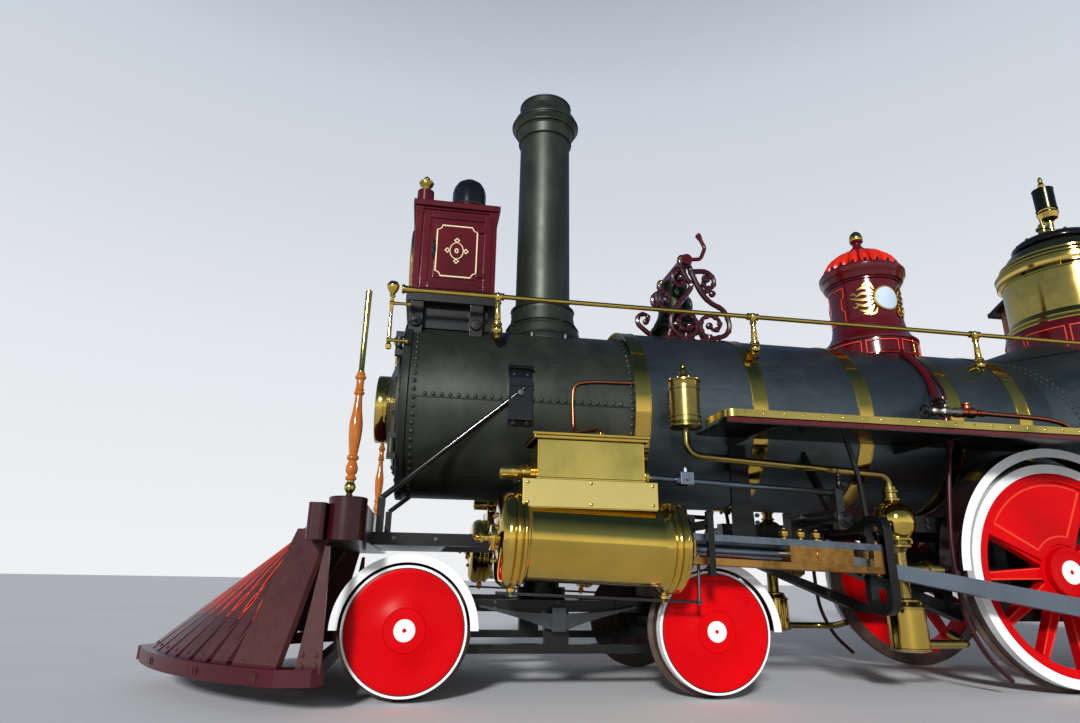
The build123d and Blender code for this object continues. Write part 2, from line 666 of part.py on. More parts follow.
fire_hole_radius = 165
fire_door_radius = fire_hole_radius + 25
fire_hole_z = cab_deck_z + fire_door_radius + 50
with BuildPart() as boiler:
    rod((smokebox_rear_x, 0, boiler_z), (barrel_rear_x, 0, boiler_z), boiler_radius)
    with BuildSketch(cross_plane(barrel_rear_x, 0, boiler_z)) as barrel_end:
        Circle(boiler_radius)
    with BuildSketch(cross_plane(wagon_front_x, 0, wagon_z)) as wagon_end:
        Circle(wagon_radius)
    loft([barrel_end.sketch.face(), wagon_end.sketch.face()])
    rod((wagon_front_x, 0, wagon_z), (backhead_x, 0, wagon_z), wagon_radius)
    slab(firebox_front_x, backhead_x, -firebox_half_width, firebox_half_width,
         firebox_bottom_z, wagon_z)
    rod((backhead_x - 40, 0, fire_hole_z), (backhead_x + 10, 0, fire_hole_z), fire_hole_radius,
        mode=Mode.SUBTRACT)
write(boiler, "boiler")

band_width = 104
band_thickness = 5
band_centres = (smokebox_rear_x + 25, smokebox_rear_x + 830, smokebox_rear_x + 1595,
                barrel_rear_x - 240)
with BuildPart() as bands:
    for band_x in band_centres:
        with BuildSketch(cross_plane(band_x - band_width / 2, 0, boiler_z)):
            Circle(boiler_radius + band_thickness)
            Circle(boiler_radius, mode=Mode.SUBTRACT)
        extrude(amount=band_width)
write(bands, "boiler_bands")

sand_x = barrel_rear_x - 910
with BuildPart() as sand_dome:
    turned((sand_x, 0, rail_z), (0, 0, 1), (
        (2200, 345), (2400, 335), (2450, 300), (2520, 280), (2600, 266), (2915, 272),
        (2935, 300), (3000, 322), (3040, 322), (3050, 262), (3080, 254), (3140, 222),
        (3205, 156), (3245, 98), (3262, 64), (3290, 46), (3318, 30), (3345, 30), (3372, 47),
        (3400, 45), (3430, 26), (3455, 10)))
    rod((smokebox_rear_x, 0, boiler_z), (barrel_rear_x, 0, boiler_z), boiler_radius,
        mode=Mode.SUBTRACT)
write(sand_dome, "sand_dome")

dome_x = cab_front_x - 590
dome_top_z = rail_z + 3605
with BuildPart() as steam_dome:
    turned((dome_x, 0, rail_z), (0, 0, 1), (
        (2300, 530), (2640, 520), (2680, 510), (2700, 490), (2740, 480), (2800, 458),
        (3160, 462), (3190, 490), (3230, 498), (3262, 498), (3300, 470), (3340, 452),
        (3383, 418), (3440, 375), (3485, 315), (3498, 285), (3502, 322), (3530, 326),
        (3562, 295), (3590, 200), (dome_top_z - rail_z, 60)))
    rod((wagon_front_x - 200, 0, wagon_z), (backhead_x, 0, wagon_z), wagon_radius,
        mode=Mode.SUBTRACT)
write(steam_dome, "steam_dome")

with BuildPart() as whistle:
    turned((dome_x, 0, dome_top_z), (0, 0, 1), (
        (0, 40), (35, 34), (45, 24), (165, 28), (195, 70), (245, 84), (270, 70), (280, 72),
        (285, 80), (495, 82), (510, 60), (520, 22), (545, 28), (575, 16), (607, 20), (631, 8)))
write(whistle, "whistle")

bell_x = smokebox_rear_x + 510
bell_pivot_z = rail_z + 2905
bell_frame_y = 235
bell_journal = 26
bell_foot_z = rail_z + 2225
scroll_plate = 24
with BuildPart() as bell_stand:
    for side in (-1, 1):
        frame_plane = side_plane(side * bell_frame_y + scroll_plate / 2, bell_x, bell_pivot_z)
        for curl_x, curl_z, curl_radius in (  # scrolls of the cast frame, beside its two legs
                (-120, -390, 96), (-75, -215, 70), (225, -455, 96), (130, -270, 78),
                (60, -110, 52)):
            with BuildSketch(frame_plane) as curl:
                with Locations((curl_x, curl_z)):
                    Circle(curl_radius)
                    Circle(curl_radius - 26, mode=Mode.SUBTRACT)
            extrude(curl.sketch, amount=scroll_plate)
        for foot_x, knee_x, knee_z in ((-235, -175, -330), (150, 120, -330)):
            with BuildSketch(frame_plane) as leg:
                Polygon((foot_x - 30, bell_foot_z - bell_pivot_z), (knee_x - 22, knee_z), (-26, 0),
                        (26, 0), (knee_x + 22, knee_z), (foot_x + 30, bell_foot_z - bell_pivot_z),
                        align=None)
            extrude(leg.sketch, amount=scroll_plate)
        slab(bell_x - 290, bell_x + 225, side * (bell_frame_y - 40), side * (bell_frame_y + 40),
             bell_foot_z - 20, bell_foot_z + 100)
        rod((bell_x, side * bell_frame_y - 20, bell_pivot_z),
            (bell_x, side * bell_frame_y + 20, bell_pivot_z), 55)
        rod((bell_x, side * bell_frame_y - 25, bell_pivot_z),
            (bell_x, side * bell_frame_y + 25, bell_pivot_z), bell_journal + pin_gap,
            mode=Mode.SUBTRACT)
    rod((smokebox_rear_x, 0, boiler_z), (barrel_rear_x, 0, boiler_z), boiler_radius,
        mode=Mode.SUBTRACT)
write(bell_stand, "bell_stand")

bell_mouth = 190
bell_wall = 12
clapper_radius = 12
with BuildPart() as bell:
    turned((bell_x, 0, bell_pivot_z), (0, 0, -1), (
        (60, 30), (66, 80), (84, 98), (250, 118), (360, 135), (430, 165), (470, bell_mouth),
        (482, bell_mouth)))
    turned((bell_x, 0, bell_pivot_z), (0, 0, -1), (
        (96, 70), (250, 118 - bell_wall), (360, 135 - bell_wall), (430, 165 - bell_wall),
        (484, bell_mouth - bell_wall)), mode=Mode.SUBTRACT)
    rod((bell_x, 0, bell_pivot_z - 50), (bell_x, 0, bell_pivot_z - 100), clapper_radius,
        mode=Mode.SUBTRACT)
write(bell, "bell")

bell_arm_y = -bell_frame_y - 48
with BuildPart() as bell_yoke:
    slab(bell_x - 30, bell_x + 30, -bell_frame_y + 40, bell_frame_y - 40, bell_pivot_z - 60,
         bell_pivot_z + 30)
    rod((bell_x, -bell_frame_y - 62, bell_pivot_z), (bell_x, bell_frame_y + 34, bell_pivot_z),
        bell_journal)
    rod((bell_x, bell_arm_y + 14, bell_pivot_z), (bell_x, bell_arm_y - 14, bell_pivot_z), 42)
    pipe(((bell_x + 10, bell_arm_y, bell_pivot_z), (bell_x + 112, bell_arm_y, bell_pivot_z + 14),
          (bell_x + 152, bell_arm_y, bell_pivot_z + 110),
          (bell_x + 108, bell_arm_y, bell_pivot_z + 205)), (45, 45), 15)
    turned((bell_x, 0, bell_pivot_z - 40), (0, 0, -1), (
        (0, clapper_radius), (352, clapper_radius), (362, 26), (380, 35), (398, 35), (416, 26),
        (426, 10)))
write(bell_yoke, "bell_yoke")

# Headlight

lamp_front_x = truck_front_x - 120
lamp_rear_x = truck_front_x + 436
lamp_half_width = 330
lamp_bottom_z = rail_z + 2430
lamp_top_z = rail_z + 3110
lamp_wall = 12
vent_x = (lamp_front_x + lamp_rear_x) / 2 + 94
lamp_door_height = 560
lamp_door_front_x = lamp_front_x + 60
lamp_door_rear_x = lamp_rear_x - 40
with BuildPart() as lamp_bracket:
    slab(lamp_front_x - 30, lamp_rear_x + 36, -400, 400, rail_z + 2362, lamp_bottom_z)
    slab(lamp_front_x, lamp_rear_x - 30, -330, 330, rail_z + 2150, rail_z + 2362)
    rod((smokebox_front_x, 0, smokebox_z), (smokebox_rear_x, 0, smokebox_z),
        smokebox_radius + 10, mode=Mode.SUBTRACT)
write(lamp_bracket, "headlight_bracket")

glass_radius = 250
glass_z = (lamp_bottom_z + lamp_top_z) / 2
lamp_door_z = lamp_bottom_z + 60
with BuildPart() as lamp:
    slab(lamp_front_x, lamp_rear_x, -lamp_half_width, lamp_half_width, lamp_bottom_z, lamp_top_z)
    slab(lamp_front_x + lamp_wall, lamp_rear_x - lamp_wall, -lamp_half_width + lamp_wall,
         lamp_half_width - lamp_wall, lamp_bottom_z + lamp_wall, lamp_top_z - lamp_wall,
         mode=Mode.SUBTRACT)
    rod((lamp_front_x - 5, 0, glass_z), (lamp_front_x + 40, 0, glass_z), glass_radius,
        mode=Mode.SUBTRACT)
    slab(lamp_door_front_x, lamp_door_rear_x, -lamp_half_width - 5, -lamp_half_width + 40,
         lamp_door_z, lamp_door_z + lamp_door_height, mode=Mode.SUBTRACT)
    slab(lamp_front_x - 30, lamp_rear_x + 30, -lamp_half_width - 30, lamp_half_width + 30,
         lamp_top_z, lamp_top_z + 30)
    turned((vent_x, 0, lamp_top_z + 30), (0, 0, 1), (
        (0, 140), (150, 140), (158, 118), (200, 119), (300, 119), (340, 112), (375, 92),
        (400, 60), (410, 25)))
    for side in (-1, 1):
        turned((lamp_front_x + 45, side * 220, lamp_top_z + 30), (0, 0, 1), (
            (0, 60), (148, 60), (153, 42), (158, 22), (170, 20), (190, 38), (206, 49),
            (224, 52), (232, 30), (242, 17), (262, 21), (278, 8)))
write(lamp, "headlight")

with BuildPart() as lamp_glass:
    rod((lamp_front_x - 14, 0, glass_z), (lamp_front_x, 0, glass_z), glass_radius + 18)
write(lamp_glass, "headlight_glass")

with BuildPart() as lamp_door:
    slab(lamp_door_front_x - 12, lamp_door_rear_x + 12, -lamp_half_width - 14,
         -lamp_half_width - door_seat, lamp_door_z - 12, lamp_door_z + lamp_door_height + 12)
    rod((lamp_door_rear_x + 12, -lamp_half_width - 10, lamp_door_z + 60),
        (lamp_door_rear_x + 12, -lamp_half_width - 10, lamp_door_z + lamp_door_height - 60), 8)
    slab(lamp_door_front_x + 2, lamp_door_front_x + 22, -lamp_half_width - 28,
         -lamp_half_width - 14, glass_z - 55, glass_z + 55)
write(lamp_door, "headlight_door")

# Handrails on posts, and the running boards

post_foot_z = handrail_z - 235
post_stations = (stack_x - 390, smokebox_rear_x + 860, barrel_rear_x - 460)
with BuildPart() as handrails:
    for side in (-1, 1):
        rod((smokebox_front_x - 15, side * handrail_y, handrail_z),
            (cab_front_x, side * handrail_y, handrail_z), handrail_radius)
        for post_x in post_stations:
            turned((post_x, side * handrail_y, post_foot_z), (0, 0, 1), (
                (-34, 14), (-20, 28), (0, 34), (22, 28), (30, 21), (44, 26), (56, 22),
                (handrail_z - post_foot_z, 14)))
            rod((post_x, side * (handrail_y - 200), post_foot_z),
                (post_x, side * handrail_y, post_foot_z), 22)
            rod((post_x - 26, side * handrail_y, handrail_z),
                (post_x + 26, side * handrail_y, handrail_z), handrail_radius + 8)
        turned((smokebox_front_x - 15, side * handrail_y, handrail_z), (1, 0, 0), (
            (-22, 30), (-12, 31), (4, 24), (60, 20)))
    rod((smokebox_front_x, 0, smokebox_z), (smokebox_rear_x, 0, smokebox_z),
        smokebox_radius, mode=Mode.SUBTRACT)
    rod((smokebox_rear_x, 0, boiler_z), (barrel_rear_x, 0, boiler_z), boiler_radius,
        mode=Mode.SUBTRACT)
    for band_x in band_centres:
        rod((band_x - band_width / 2, 0, boiler_z), (band_x + band_width / 2, 0, boiler_z),
            boiler_radius + band_thickness, mode=Mode.SUBTRACT)
write(handrails, "handrails")

with BuildPart() as boards:
    for side in (-1, 1):
        with BuildSketch(Plane.XY.offset(board_top_z - board_thickness)):
            Polygon((board_front_x, side * board_edge), (cab_front_x, side * board_edge),
                    (cab_front_x, side * 610), (board_front_x + 90, side * 610),
                    (board_front_x + 90, side * 900), align=None)
        extrude(amount=board_thickness)
        slab(board_front_x, cab_front_x, side * (board_edge - 14), side * board_edge,
             board_top_z - board_thickness - 50, board_top_z)
        for bracket_x in (board_front_x + 300, board_front_x + 1500, front_driver_x + 1150,
                          cab_front_x - 200):
            slab(bracket_x, bracket_x + 30, side * 560, side * (board_edge - 60),
                 board_top_z - board_thickness - 50, board_top_z - board_thickness)
    rod((smokebox_rear_x, 0, boiler_z), (barrel_rear_x, 0, boiler_z), boiler_radius + 5,
        mode=Mode.SUBTRACT)
    rod((barrel_rear_x, 0, wagon_z), (backhead_x, 0, wagon_z), wagon_radius + 1,
        mode=Mode.SUBTRACT)
write(boards, "running_boards")

# Pilot, its beam, flagstaffs and the smokebox braces

plank_front_x = truck_front_x - 496
plank_thickness = 86
beam_bottom_z = rail_z + 765
beam_top_z = rail_z + 940
beam_half_width = 1200
drum_radius = 95
drum_x = plank_front_x + plank_thickness + drum_radius - 3
drum_y = beam_half_width - drum_radius
pilot_tip_x = truck_front_x - nose_length
pilot_corner_x = plank_front_x + 140
pilot_turn_x = pilot_corner_x - 210  # where a bowed side becomes the straight corner
pilot_half_width = beam_half_width - 30
pilot_bow = 130  # how far each side bows out between the nose and that turn
pilot_bottom_z = rail_z + 110
pilot_rail_height = 75
pilot_rail_width = 95
pilot_rail_top_z = pilot_bottom_z + pilot_rail_height
pilot_tie_x = pilot_corner_x - 104  # rear tie of the foot rail, clear of the swivelling truck
pilot_crest_x = plank_front_x - 215  # the top shelf's point, over the nose
pilot_crest_half_width = beam_half_width - 190
pilot_top_z = rail_z + 850
shelf_thickness = 50
board_count = 9  # board pitches on each side of the nose, the last two one wide board
board_share = 0.72  # of each board's pitch, the rest is the gap between boards
pilot_board_thickness = 34


pilot_nose = Vector(pilot_tip_x + 20, -50)
pilot_turn = Vector(pilot_turn_x, -pilot_half_width)
pilot_chord = pilot_turn - pilot_nose
pilot_out = pilot_chord.rotate(Axis.Z, -90).normalized()
pilot_middle = pilot_nose + pilot_chord * 0.5 + pilot_out * pilot_bow


def pilot_foot(share):
    """A point on the left foot rail's bowed line, from the nose (0) to the turn (1)."""
    at = pilot_nose + pilot_chord * share + pilot_out * (4 * pilot_bow * share * (1 - share))
    return Vector(at.X + 30, at.Y + 20, pilot_bottom_z + pilot_rail_height / 2)


def pilot_head(share):
    """A point under the shelf's left edge, from its point (0) to its end (1)."""
    return Vector(pilot_crest_x + 20 + share * (plank_front_x - pilot_crest_x + 10),
                  -share * (pilot_crest_half_width + 30), pilot_top_z - shelf_thickness / 2)


def pilot_board(share, foot_width, head_width):
    """A tapering board between the foot rail and the shelf, its face on the pilot's slope."""
    foot, head = pilot_foot(share), pilot_head(share)
    along = (pilot_foot(share + 0.01) - pilot_foot(share - 0.01)).normalized()
    face = Plane(origin=foot, x_dir=along, z_dir=along.cross(head - foot))
    top = face.to_local_coords(head)
    with BuildSketch(face) as outline:
        Polygon((-foot_width / 2, 0), (foot_width / 2, 0), (top.X + head_width / 2, top.Y),
                (top.X - head_width / 2, top.Y), align=None)
    extrude(outline.sketch, amount=pilot_board_thickness / 2, both=True)


with BuildPart() as pilot:
    with BuildSketch(Plane.XY.offset(pilot_bottom_z)) as foot_rail:
        with BuildLine():
            outer_edge = ThreePointArc(pilot_nose, pilot_middle, pilot_turn)
            corner = Polyline(outer_edge @ 1, (pilot_corner_x - 45, -pilot_half_width),
                              (pilot_corner_x, -pilot_half_width + 45),
                              (pilot_corner_x, -pilot_half_width + pilot_rail_width),
                              (pilot_turn_x, -pilot_half_width + pilot_rail_width))
            inner_edge = ThreePointArc(corner @ 1, pilot_middle - pilot_out * pilot_rail_width,
                                       (pilot_tip_x + 2 * pilot_rail_width, 0))
            Polyline(inner_edge @ 1, (pilot_tip_x, 0), (pilot_tip_x, -30), outer_edge @ 0)
        make_face()
    extrude(foot_rail.sketch, amount=pilot_rail_height)
    with BuildSketch(Plane.XY.offset(pilot_top_z - shelf_thickness)) as shelf:
        Polygon((pilot_crest_x, 0), (pilot_crest_x, -50),
                (plank_front_x - 14, -pilot_crest_half_width),
                (plank_front_x, -pilot_crest_half_width), (plank_front_x, 0), align=None)
    extrude(shelf.sketch, amount=shelf_thickness)
    foot_pitch = pilot_chord.length / board_count
    head_pitch = (pilot_head(1) - pilot_head(0)).length / board_count
    board_places = [(number + 0.5, board_share) for number in range(board_count - 2)]
    board_places.append((board_count - 1, board_share + 1))
    for middle, width in board_places:
        pilot_board(middle / board_count, width * foot_pitch, width * head_pitch)
    slab(pilot_tie_x, pilot_tie_x + 60, -pilot_half_width + 40, 0, pilot_bottom_z,
         pilot_rail_top_z)
    corner_board_y = -pilot_half_width + 24
    side_slab(((pilot_corner_x - 128, pilot_rail_top_z - 20),
               (pilot_corner_x - 8, pilot_rail_top_z - 20), (pilot_corner_x - 24, beam_bottom_z - 30),
               (pilot_corner_x - 46, beam_bottom_z - 30)), corner_board_y,
              corner_board_y + pilot_board_thickness)
    mirror(about=Plane.XZ)
    side_slab(((pilot_tip_x + 20, pilot_bottom_z + 30), (pilot_tip_x + 70, pilot_bottom_z + 30),
               (pilot_crest_x + 50, pilot_top_z - 20), (pilot_crest_x, pilot_top_z - 20)),
              -26, 26)
    slab(plank_front_x, frame_front_x, -beam_half_width, beam_half_width, beam_bottom_z,
         beam_top_z, mode=Mode.SUBTRACT)
write(pilot, "pilot")

with BuildPart() as beam:
    with BuildSketch(Plane.XY.offset(beam_bottom_z)) as plank:
        with Locations((plank_front_x + plank_thickness / 2, 0)):
            RectangleRounded(plank_thickness, 2 * beam_half_width, 24)
    extrude(plank.sketch, amount=beam_top_z - beam_bottom_z)
    slab(plank_front_x + plank_thickness - 1, frame_front_x, -drum_y, drum_y, beam_bottom_z,
         beam_top_z)
    for side in (-1, 1):
        rod((drum_x, side * drum_y, beam_bottom_z), (drum_x, side * drum_y, beam_top_z + 28),
            drum_radius)
    slab(frame_front_x, frame_front_x + 420, -frame_inner, frame_inner, front_rail_z,
         front_rail_z + 30)
write(beam, "pilot_beam")

with BuildPart() as staffs:
    for side in (-1, 1):
        turned((drum_x, side * drum_y, beam_top_z + 28), (0, 0, 1), (
            (0, 34), (14, 34), (24, 22), (44, 20), (70, 34), (96, 36), (122, 20), (140, 26),
            (215, 33), (262, 24), (276, 32), (300, 32), (330, 20), (641, 24), (645, 17),
            (1140, 13)))
write(staffs, "flagstaffs")

brace_radius = 17
brace_foot_x = frame_front_x + 30
brace_foot_y = frame_inner + 30
brace_foot_z = rail_z + 1043
brace_head_x = truck_front_x + 633
brace_head_y = 620
brace_head_z = smokebox_z + 42
post_half = 22
with BuildPart() as braces:
    for side in (-1, 1):
        rod((brace_foot_x, side * brace_foot_y, brace_foot_z),
            (brace_head_x, side * brace_head_y, brace_head_z), brace_radius)
        slab(brace_foot_x - post_half, brace_foot_x + post_half,
             side * (brace_foot_y - post_half), side * (brace_foot_y + post_half), frame_top_z,
             brace_foot_z)
        slab(brace_head_x - 99, brace_head_x + 50, side * (brace_head_y - 100),
             side * (brace_head_y + 5), brace_head_z - 203, brace_head_z + 67)
    rod((smokebox_front_x, 0, smokebox_z), (smokebox_rear_x, 0, smokebox_z),
        smokebox_radius, mode=Mode.SUBTRACT)
write(braces, "smokebox_braces")

waist_x = cylinder_front_x + 1612
with BuildPart() as waist_braces:
    for side in (-1, 1):
        side_slab(((waist_x - 60, frame_top_z), (waist_x + 90, frame_top_z),
                   (waist_x + 50, boiler_z - 180), (waist_x - 55, boiler_z - 180)),
                  side * (frame_outer - 24), side * frame_outer)
        slab(waist_x - 50, waist_x + 45, side * (frame_outer - 110), side * (frame_outer - 20),
             boiler_z - 420, boiler_z - 300)
    rod((smokebox_rear_x, 0, boiler_z), (barrel_rear_x, 0, boiler_z), boiler_radius,
        mode=Mode.SUBTRACT)
write(waist_braces, "waist_braces")

# Valve rods with rocker arms

rocker_x = main_rail_front_x + 95
rocker_shaft_z = rail_z + 980
rocker_top_z = rail_z + 1110
coupling_x = chest_rear_x + 242  # square coupling between the valve spindle and the rod
coupling_length = 70
with BuildPart() as valve_rods:
    for side in (-1, 1):
        start = (chest_rear_x + 71, side * valve_rod_y, valve_rod_z)
        end = (rocker_x, side * valve_rod_y, rocker_top_z)
        rod(start, end, 18)
        rod((coupling_x, side * valve_rod_y, valve_rod_z - 8),
            (coupling_x + coupling_length, side * valve_rod_y, valve_rod_z - 11), 34)
        slab(rocker_x - 24, rocker_x + 24, side * (valve_rod_y - 30), side * (valve_rod_y + 30),
             rocker_shaft_z - 80, rocker_top_z + 24)
        rod((rocker_x, side * frame_outer, rocker_shaft_z),
            (rocker_x, side * (valve_rod_y + 20), rocker_shaft_z), 38)
write(valve_rods, "valve_rods")

# Feed pumps, their pipes and the check valves

pump_x = yoke_x + yoke_thickness + 255
pump_y = 800
pump_bottom_z = rail_z + 221
check_z = rail_z + 1580  # height of the check valve's branch into the boiler
check_x = truck_front_x + 1620
check_y = 780
with BuildPart() as pumps:
    for side in (-1, 1):
        y = side * pump_y
        turned((pump_x, y, pump_bottom_z), (0, 0, 1), (
            (0, 70), (10, 105), (255, 105), (279, 80), (300, 45), (560, 45), (600, 70),
            (640, 78), (680, 102), (748, 112), (810, 100), (850, 60), (870, 42), (960, 40)))
        slab(pump_x - 40, pump_x + 40, side * frame_outer, side * (pump_y - 30),
             main_rail_z + 10, main_rail_z + 80)
        pipe(((pump_x, y, rail_z + 1160), (pump_x, y, rail_z + 1255),
              (check_x, side * check_y, check_z - 250),
              (check_x, side * check_y, check_z - 80)), (60, 90), 22)
        turned((check_x, side * check_y, check_z - 90), (0, 0, 1), (
            (0, 60), (14, 97), (40, 92), (270, 92), (300, 98), (318, 40), (350, 20),
            (370, 30), (403, 8)))
        rod((check_x, side * (boiler_radius - 66), check_z),
            (check_x, side * (check_y - 20), check_z), 40)
    rod((smokebox_rear_x, 0, boiler_z), (barrel_rear_x, 0, boiler_z), boiler_radius,
        mode=Mode.SUBTRACT)
write(pumps, "feed_pumps")

# Cab: wooden walls with windows, arched roof, floor and two front doors

window_bottom_z = board_top_z + 800
window_height = 950
window_width = 560
door_inner_y = wagon_radius + 45
door_width = cab_half_width - 110 - door_inner_y
door_height = 1500
cab_skirt_z = board_top_z - 120
cab_aisle = 455  # half the width of the low deck between the frames
eaves_rise = 60
with BuildPart() as cab:
    for side in (-1, 1):
        slab(cab_front_x, cab_rear_x, side * (cab_half_width - cab_wall), side * cab_half_width,
             cab_skirt_z, cab_eaves_z)
        for middle in (0.29, 0.71):
            centre = cab_front_x + middle * (cab_rear_x - cab_front_x)
            with BuildSketch(side_plane(side * (cab_half_width - cab_wall / 2), centre,
                                        window_bottom_z)):
                with Locations((0, (window_height - window_width / 2) / 2)):
                    Rectangle(window_width, window_height - window_width / 2)
                with Locations((0, window_height - window_width / 2)):
                    Circle(window_width / 2)
            extrude(amount=cab_wall, both=True, mode=Mode.SUBTRACT)
    with BuildSketch(cross_plane(cab_front_x)):
        with BuildLine():
            crown = ThreePointArc((-cab_half_width, cab_eaves_z), (0, cab_eaves_z + cab_crown),
                                  (cab_half_width, cab_eaves_z))
            Polyline(crown @ 1, (cab_half_width, board_top_z), (-cab_half_width, board_top_z),
                     crown @ 0)
        make_face()
    extrude(amount=cab_wall)
    rod((cab_front_x - 5, 0, wagon_z), (cab_front_x + cab_wall + 5, 0, wagon_z),
        wagon_radius + 1, mode=Mode.SUBTRACT)
    slab(cab_front_x - 5, cab_front_x + cab_wall + 5, -wagon_radius - 1, wagon_radius + 1,
         cab_skirt_z - 5, wagon_z, mode=Mode.SUBTRACT)
    for side in (-1, 1):
        slab(cab_front_x - 5, cab_front_x + cab_wall + 5, side * door_inner_y,
             side * (door_inner_y + door_width), board_top_z + 20, board_top_z + 20 + door_height,
             mode=Mode.SUBTRACT)
write(cab, "cab_walls")

with BuildPart() as roof:
    roof_half = cab_half_width + roof_overhang
    with BuildSketch(cross_plane(cab_front_x - roof_overhang)):
        with BuildLine():
            lower = ThreePointArc((-cab_half_width, cab_eaves_z), (0, cab_eaves_z + cab_crown),
                                  (cab_half_width, cab_eaves_z))
            Line(lower @ 1, (roof_half, cab_eaves_z - eaves_rise / 2))
            Line((roof_half, cab_eaves_z - eaves_rise / 2),
                 (roof_half, cab_eaves_z - eaves_rise / 2 + roof_thickness))
            upper = ThreePointArc((roof_half, cab_eaves_z - eaves_rise / 2 + roof_thickness),
                                  (0, cab_eaves_z + cab_crown + roof_thickness),
                                  (-roof_half, cab_eaves_z - eaves_rise / 2 + roof_thickness))
            Line(upper @ 1, (-roof_half, cab_eaves_z - eaves_rise / 2))
            Line((-roof_half, cab_eaves_z - eaves_rise / 2), lower @ 0)
        make_face()
    extrude(amount=cab_rear_x - cab_front_x + roof_overhang + roof_rear_overhang)
write(roof, "cab_roof")

with BuildPart() as floor:
    slab(backhead_x + 60, cab_rear_x, -cab_aisle, cab_aisle, cab_deck_z - 22, cab_deck_z)
    for side in (-1, 1):
        slab(backhead_x + 60, cab_rear_x, side * cab_aisle, side * (cab_aisle - 20), cab_deck_z,
             board_top_z)
        slab(cab_front_x + cab_wall, cab_rear_x, side * (wagon_radius + 2),
             side * (cab_half_width - cab_wall), board_top_z - board_thickness, board_top_z)
        slab(backhead_x + 60, cab_rear_x, side * (cab_aisle - 20), side * (wagon_radius + 2),
             board_top_z - board_thickness, board_top_z)
        slab(cab_front_x + 560, cab_rear_x - 150, side * 820,
             side * (cab_half_width - cab_wall), board_top_z, board_top_z + 430)
write(floor, "cab_floor")

door_gap = 4
door_board = 28
for side, name in ((-1, "left"), (1, "right")):
    with BuildPart() as door:
        y0 = side * (door_inner_y + door_gap)
        y1 = side * (door_inner_y + door_width - door_gap)
        z0 = board_top_z + 20 + door_gap
        z1 = board_top_z + 20 + door_height - door_gap
        slab(cab_front_x, cab_front_x + door_board, y0, y1, z0, z1)
        slab(cab_front_x - 5, cab_front_x + door_board + 5, side * (door_inner_y + 80),
             side * (door_inner_y + door_width - 80), z0 + 800, z1 - 110, mode=Mode.SUBTRACT)
        for hinge_z in (z0 + 150, z1 - 150):
            rod((cab_front_x - 9, y1, hinge_z - 60), (cab_front_x - 9, y1, hinge_z + 60), 9)
    write(door, f"cab_door_{name}")

# Backhead fittings and fire door

fire_hinge_y = fire_door_radius + 17
with BuildPart() as fire_door:
    rod((backhead_x + door_seat, 0, fire_hole_z), (backhead_x + 25, 0, fire_hole_z),
        fire_door_radius)
    rod((backhead_x + 25, -60, fire_hole_z - 80), (backhead_x + 60, -60, fire_hole_z - 80), 12)
    for strap_z in (fire_hole_z - 110, fire_hole_z + 110):
        rod((backhead_x + 16, fire_hinge_y, strap_z - 35),
            (backhead_x + 16, fire_hinge_y, strap_z + 35), 14)
        slab(backhead_x + 6, backhead_x + 32, 90, fire_hinge_y, strap_z - 18, strap_z + 18)
write(fire_door, "fire_door")

with BuildPart() as fittings:
    rod((backhead_x, 0, wagon_z + 330), (backhead_x + 120, 0, wagon_z + 330), 34)
    bar((backhead_x + 100, -40, wagon_z + 330), (backhead_x + 100, 380, wagon_z + 390), 26, 26,
        across=(1, 0, 0))
    rod((backhead_x, -330, wagon_z + 420), (backhead_x + 70, -330, wagon_z + 420), 95)
    for rise in (0, 90, 180):
        rod((backhead_x, -200 - rise / 3, wagon_z - 60 + rise),
            (backhead_x + 95, -200 - rise / 3, wagon_z - 60 + rise), 16)
write(fittings, "backhead_fittings")

# Rear deck with the drawbar pocket

deck_half_width = cab_half_width - 90
drawbar_z = rail_z + 850
drawbar_pin_radius = 32
step_z = rail_z + 400
with BuildPart() as deck:
    slab(frame_rear_x, deck_rear_x, -deck_half_width, deck_half_width, main_rail_z - 60,
         main_rail_z + main_rail_height)
    slab(frame_rear_x - 380, deck_rear_x - 20, -220, 220, drawbar_z - 70, main_rail_z - 60)
    slab(deck_rear_x - 160, deck_rear_x, -180, 180, drawbar_z - 30, drawbar_z + 30,
         mode=Mode.SUBTRACT)
    rod((deck_rear_x - 90, 0, drawbar_z - 100), (deck_rear_x - 90, 0, main_rail_z + 200),
        drawbar_pin_radius, mode=Mode.SUBTRACT)
    for side in (-1, 1):
        step_outer = side * (deck_half_width - 30)
        slab(deck_rear_x - 40, deck_rear_x - 10, step_outer, step_outer - side * 250,
             step_z + 20, main_rail_z - 60)
        slab(deck_rear_x - 200, deck_rear_x - 10, step_outer, step_outer - side * 250,
             step_z, step_z + 25)
write(deck, "rear_deck")
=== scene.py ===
from math import acos, asin, atan2, copysign, cos, degrees, hypot, pi, radians, sin, sqrt, tau

import bmesh
import bpy
from mathutils import Matrix, Vector


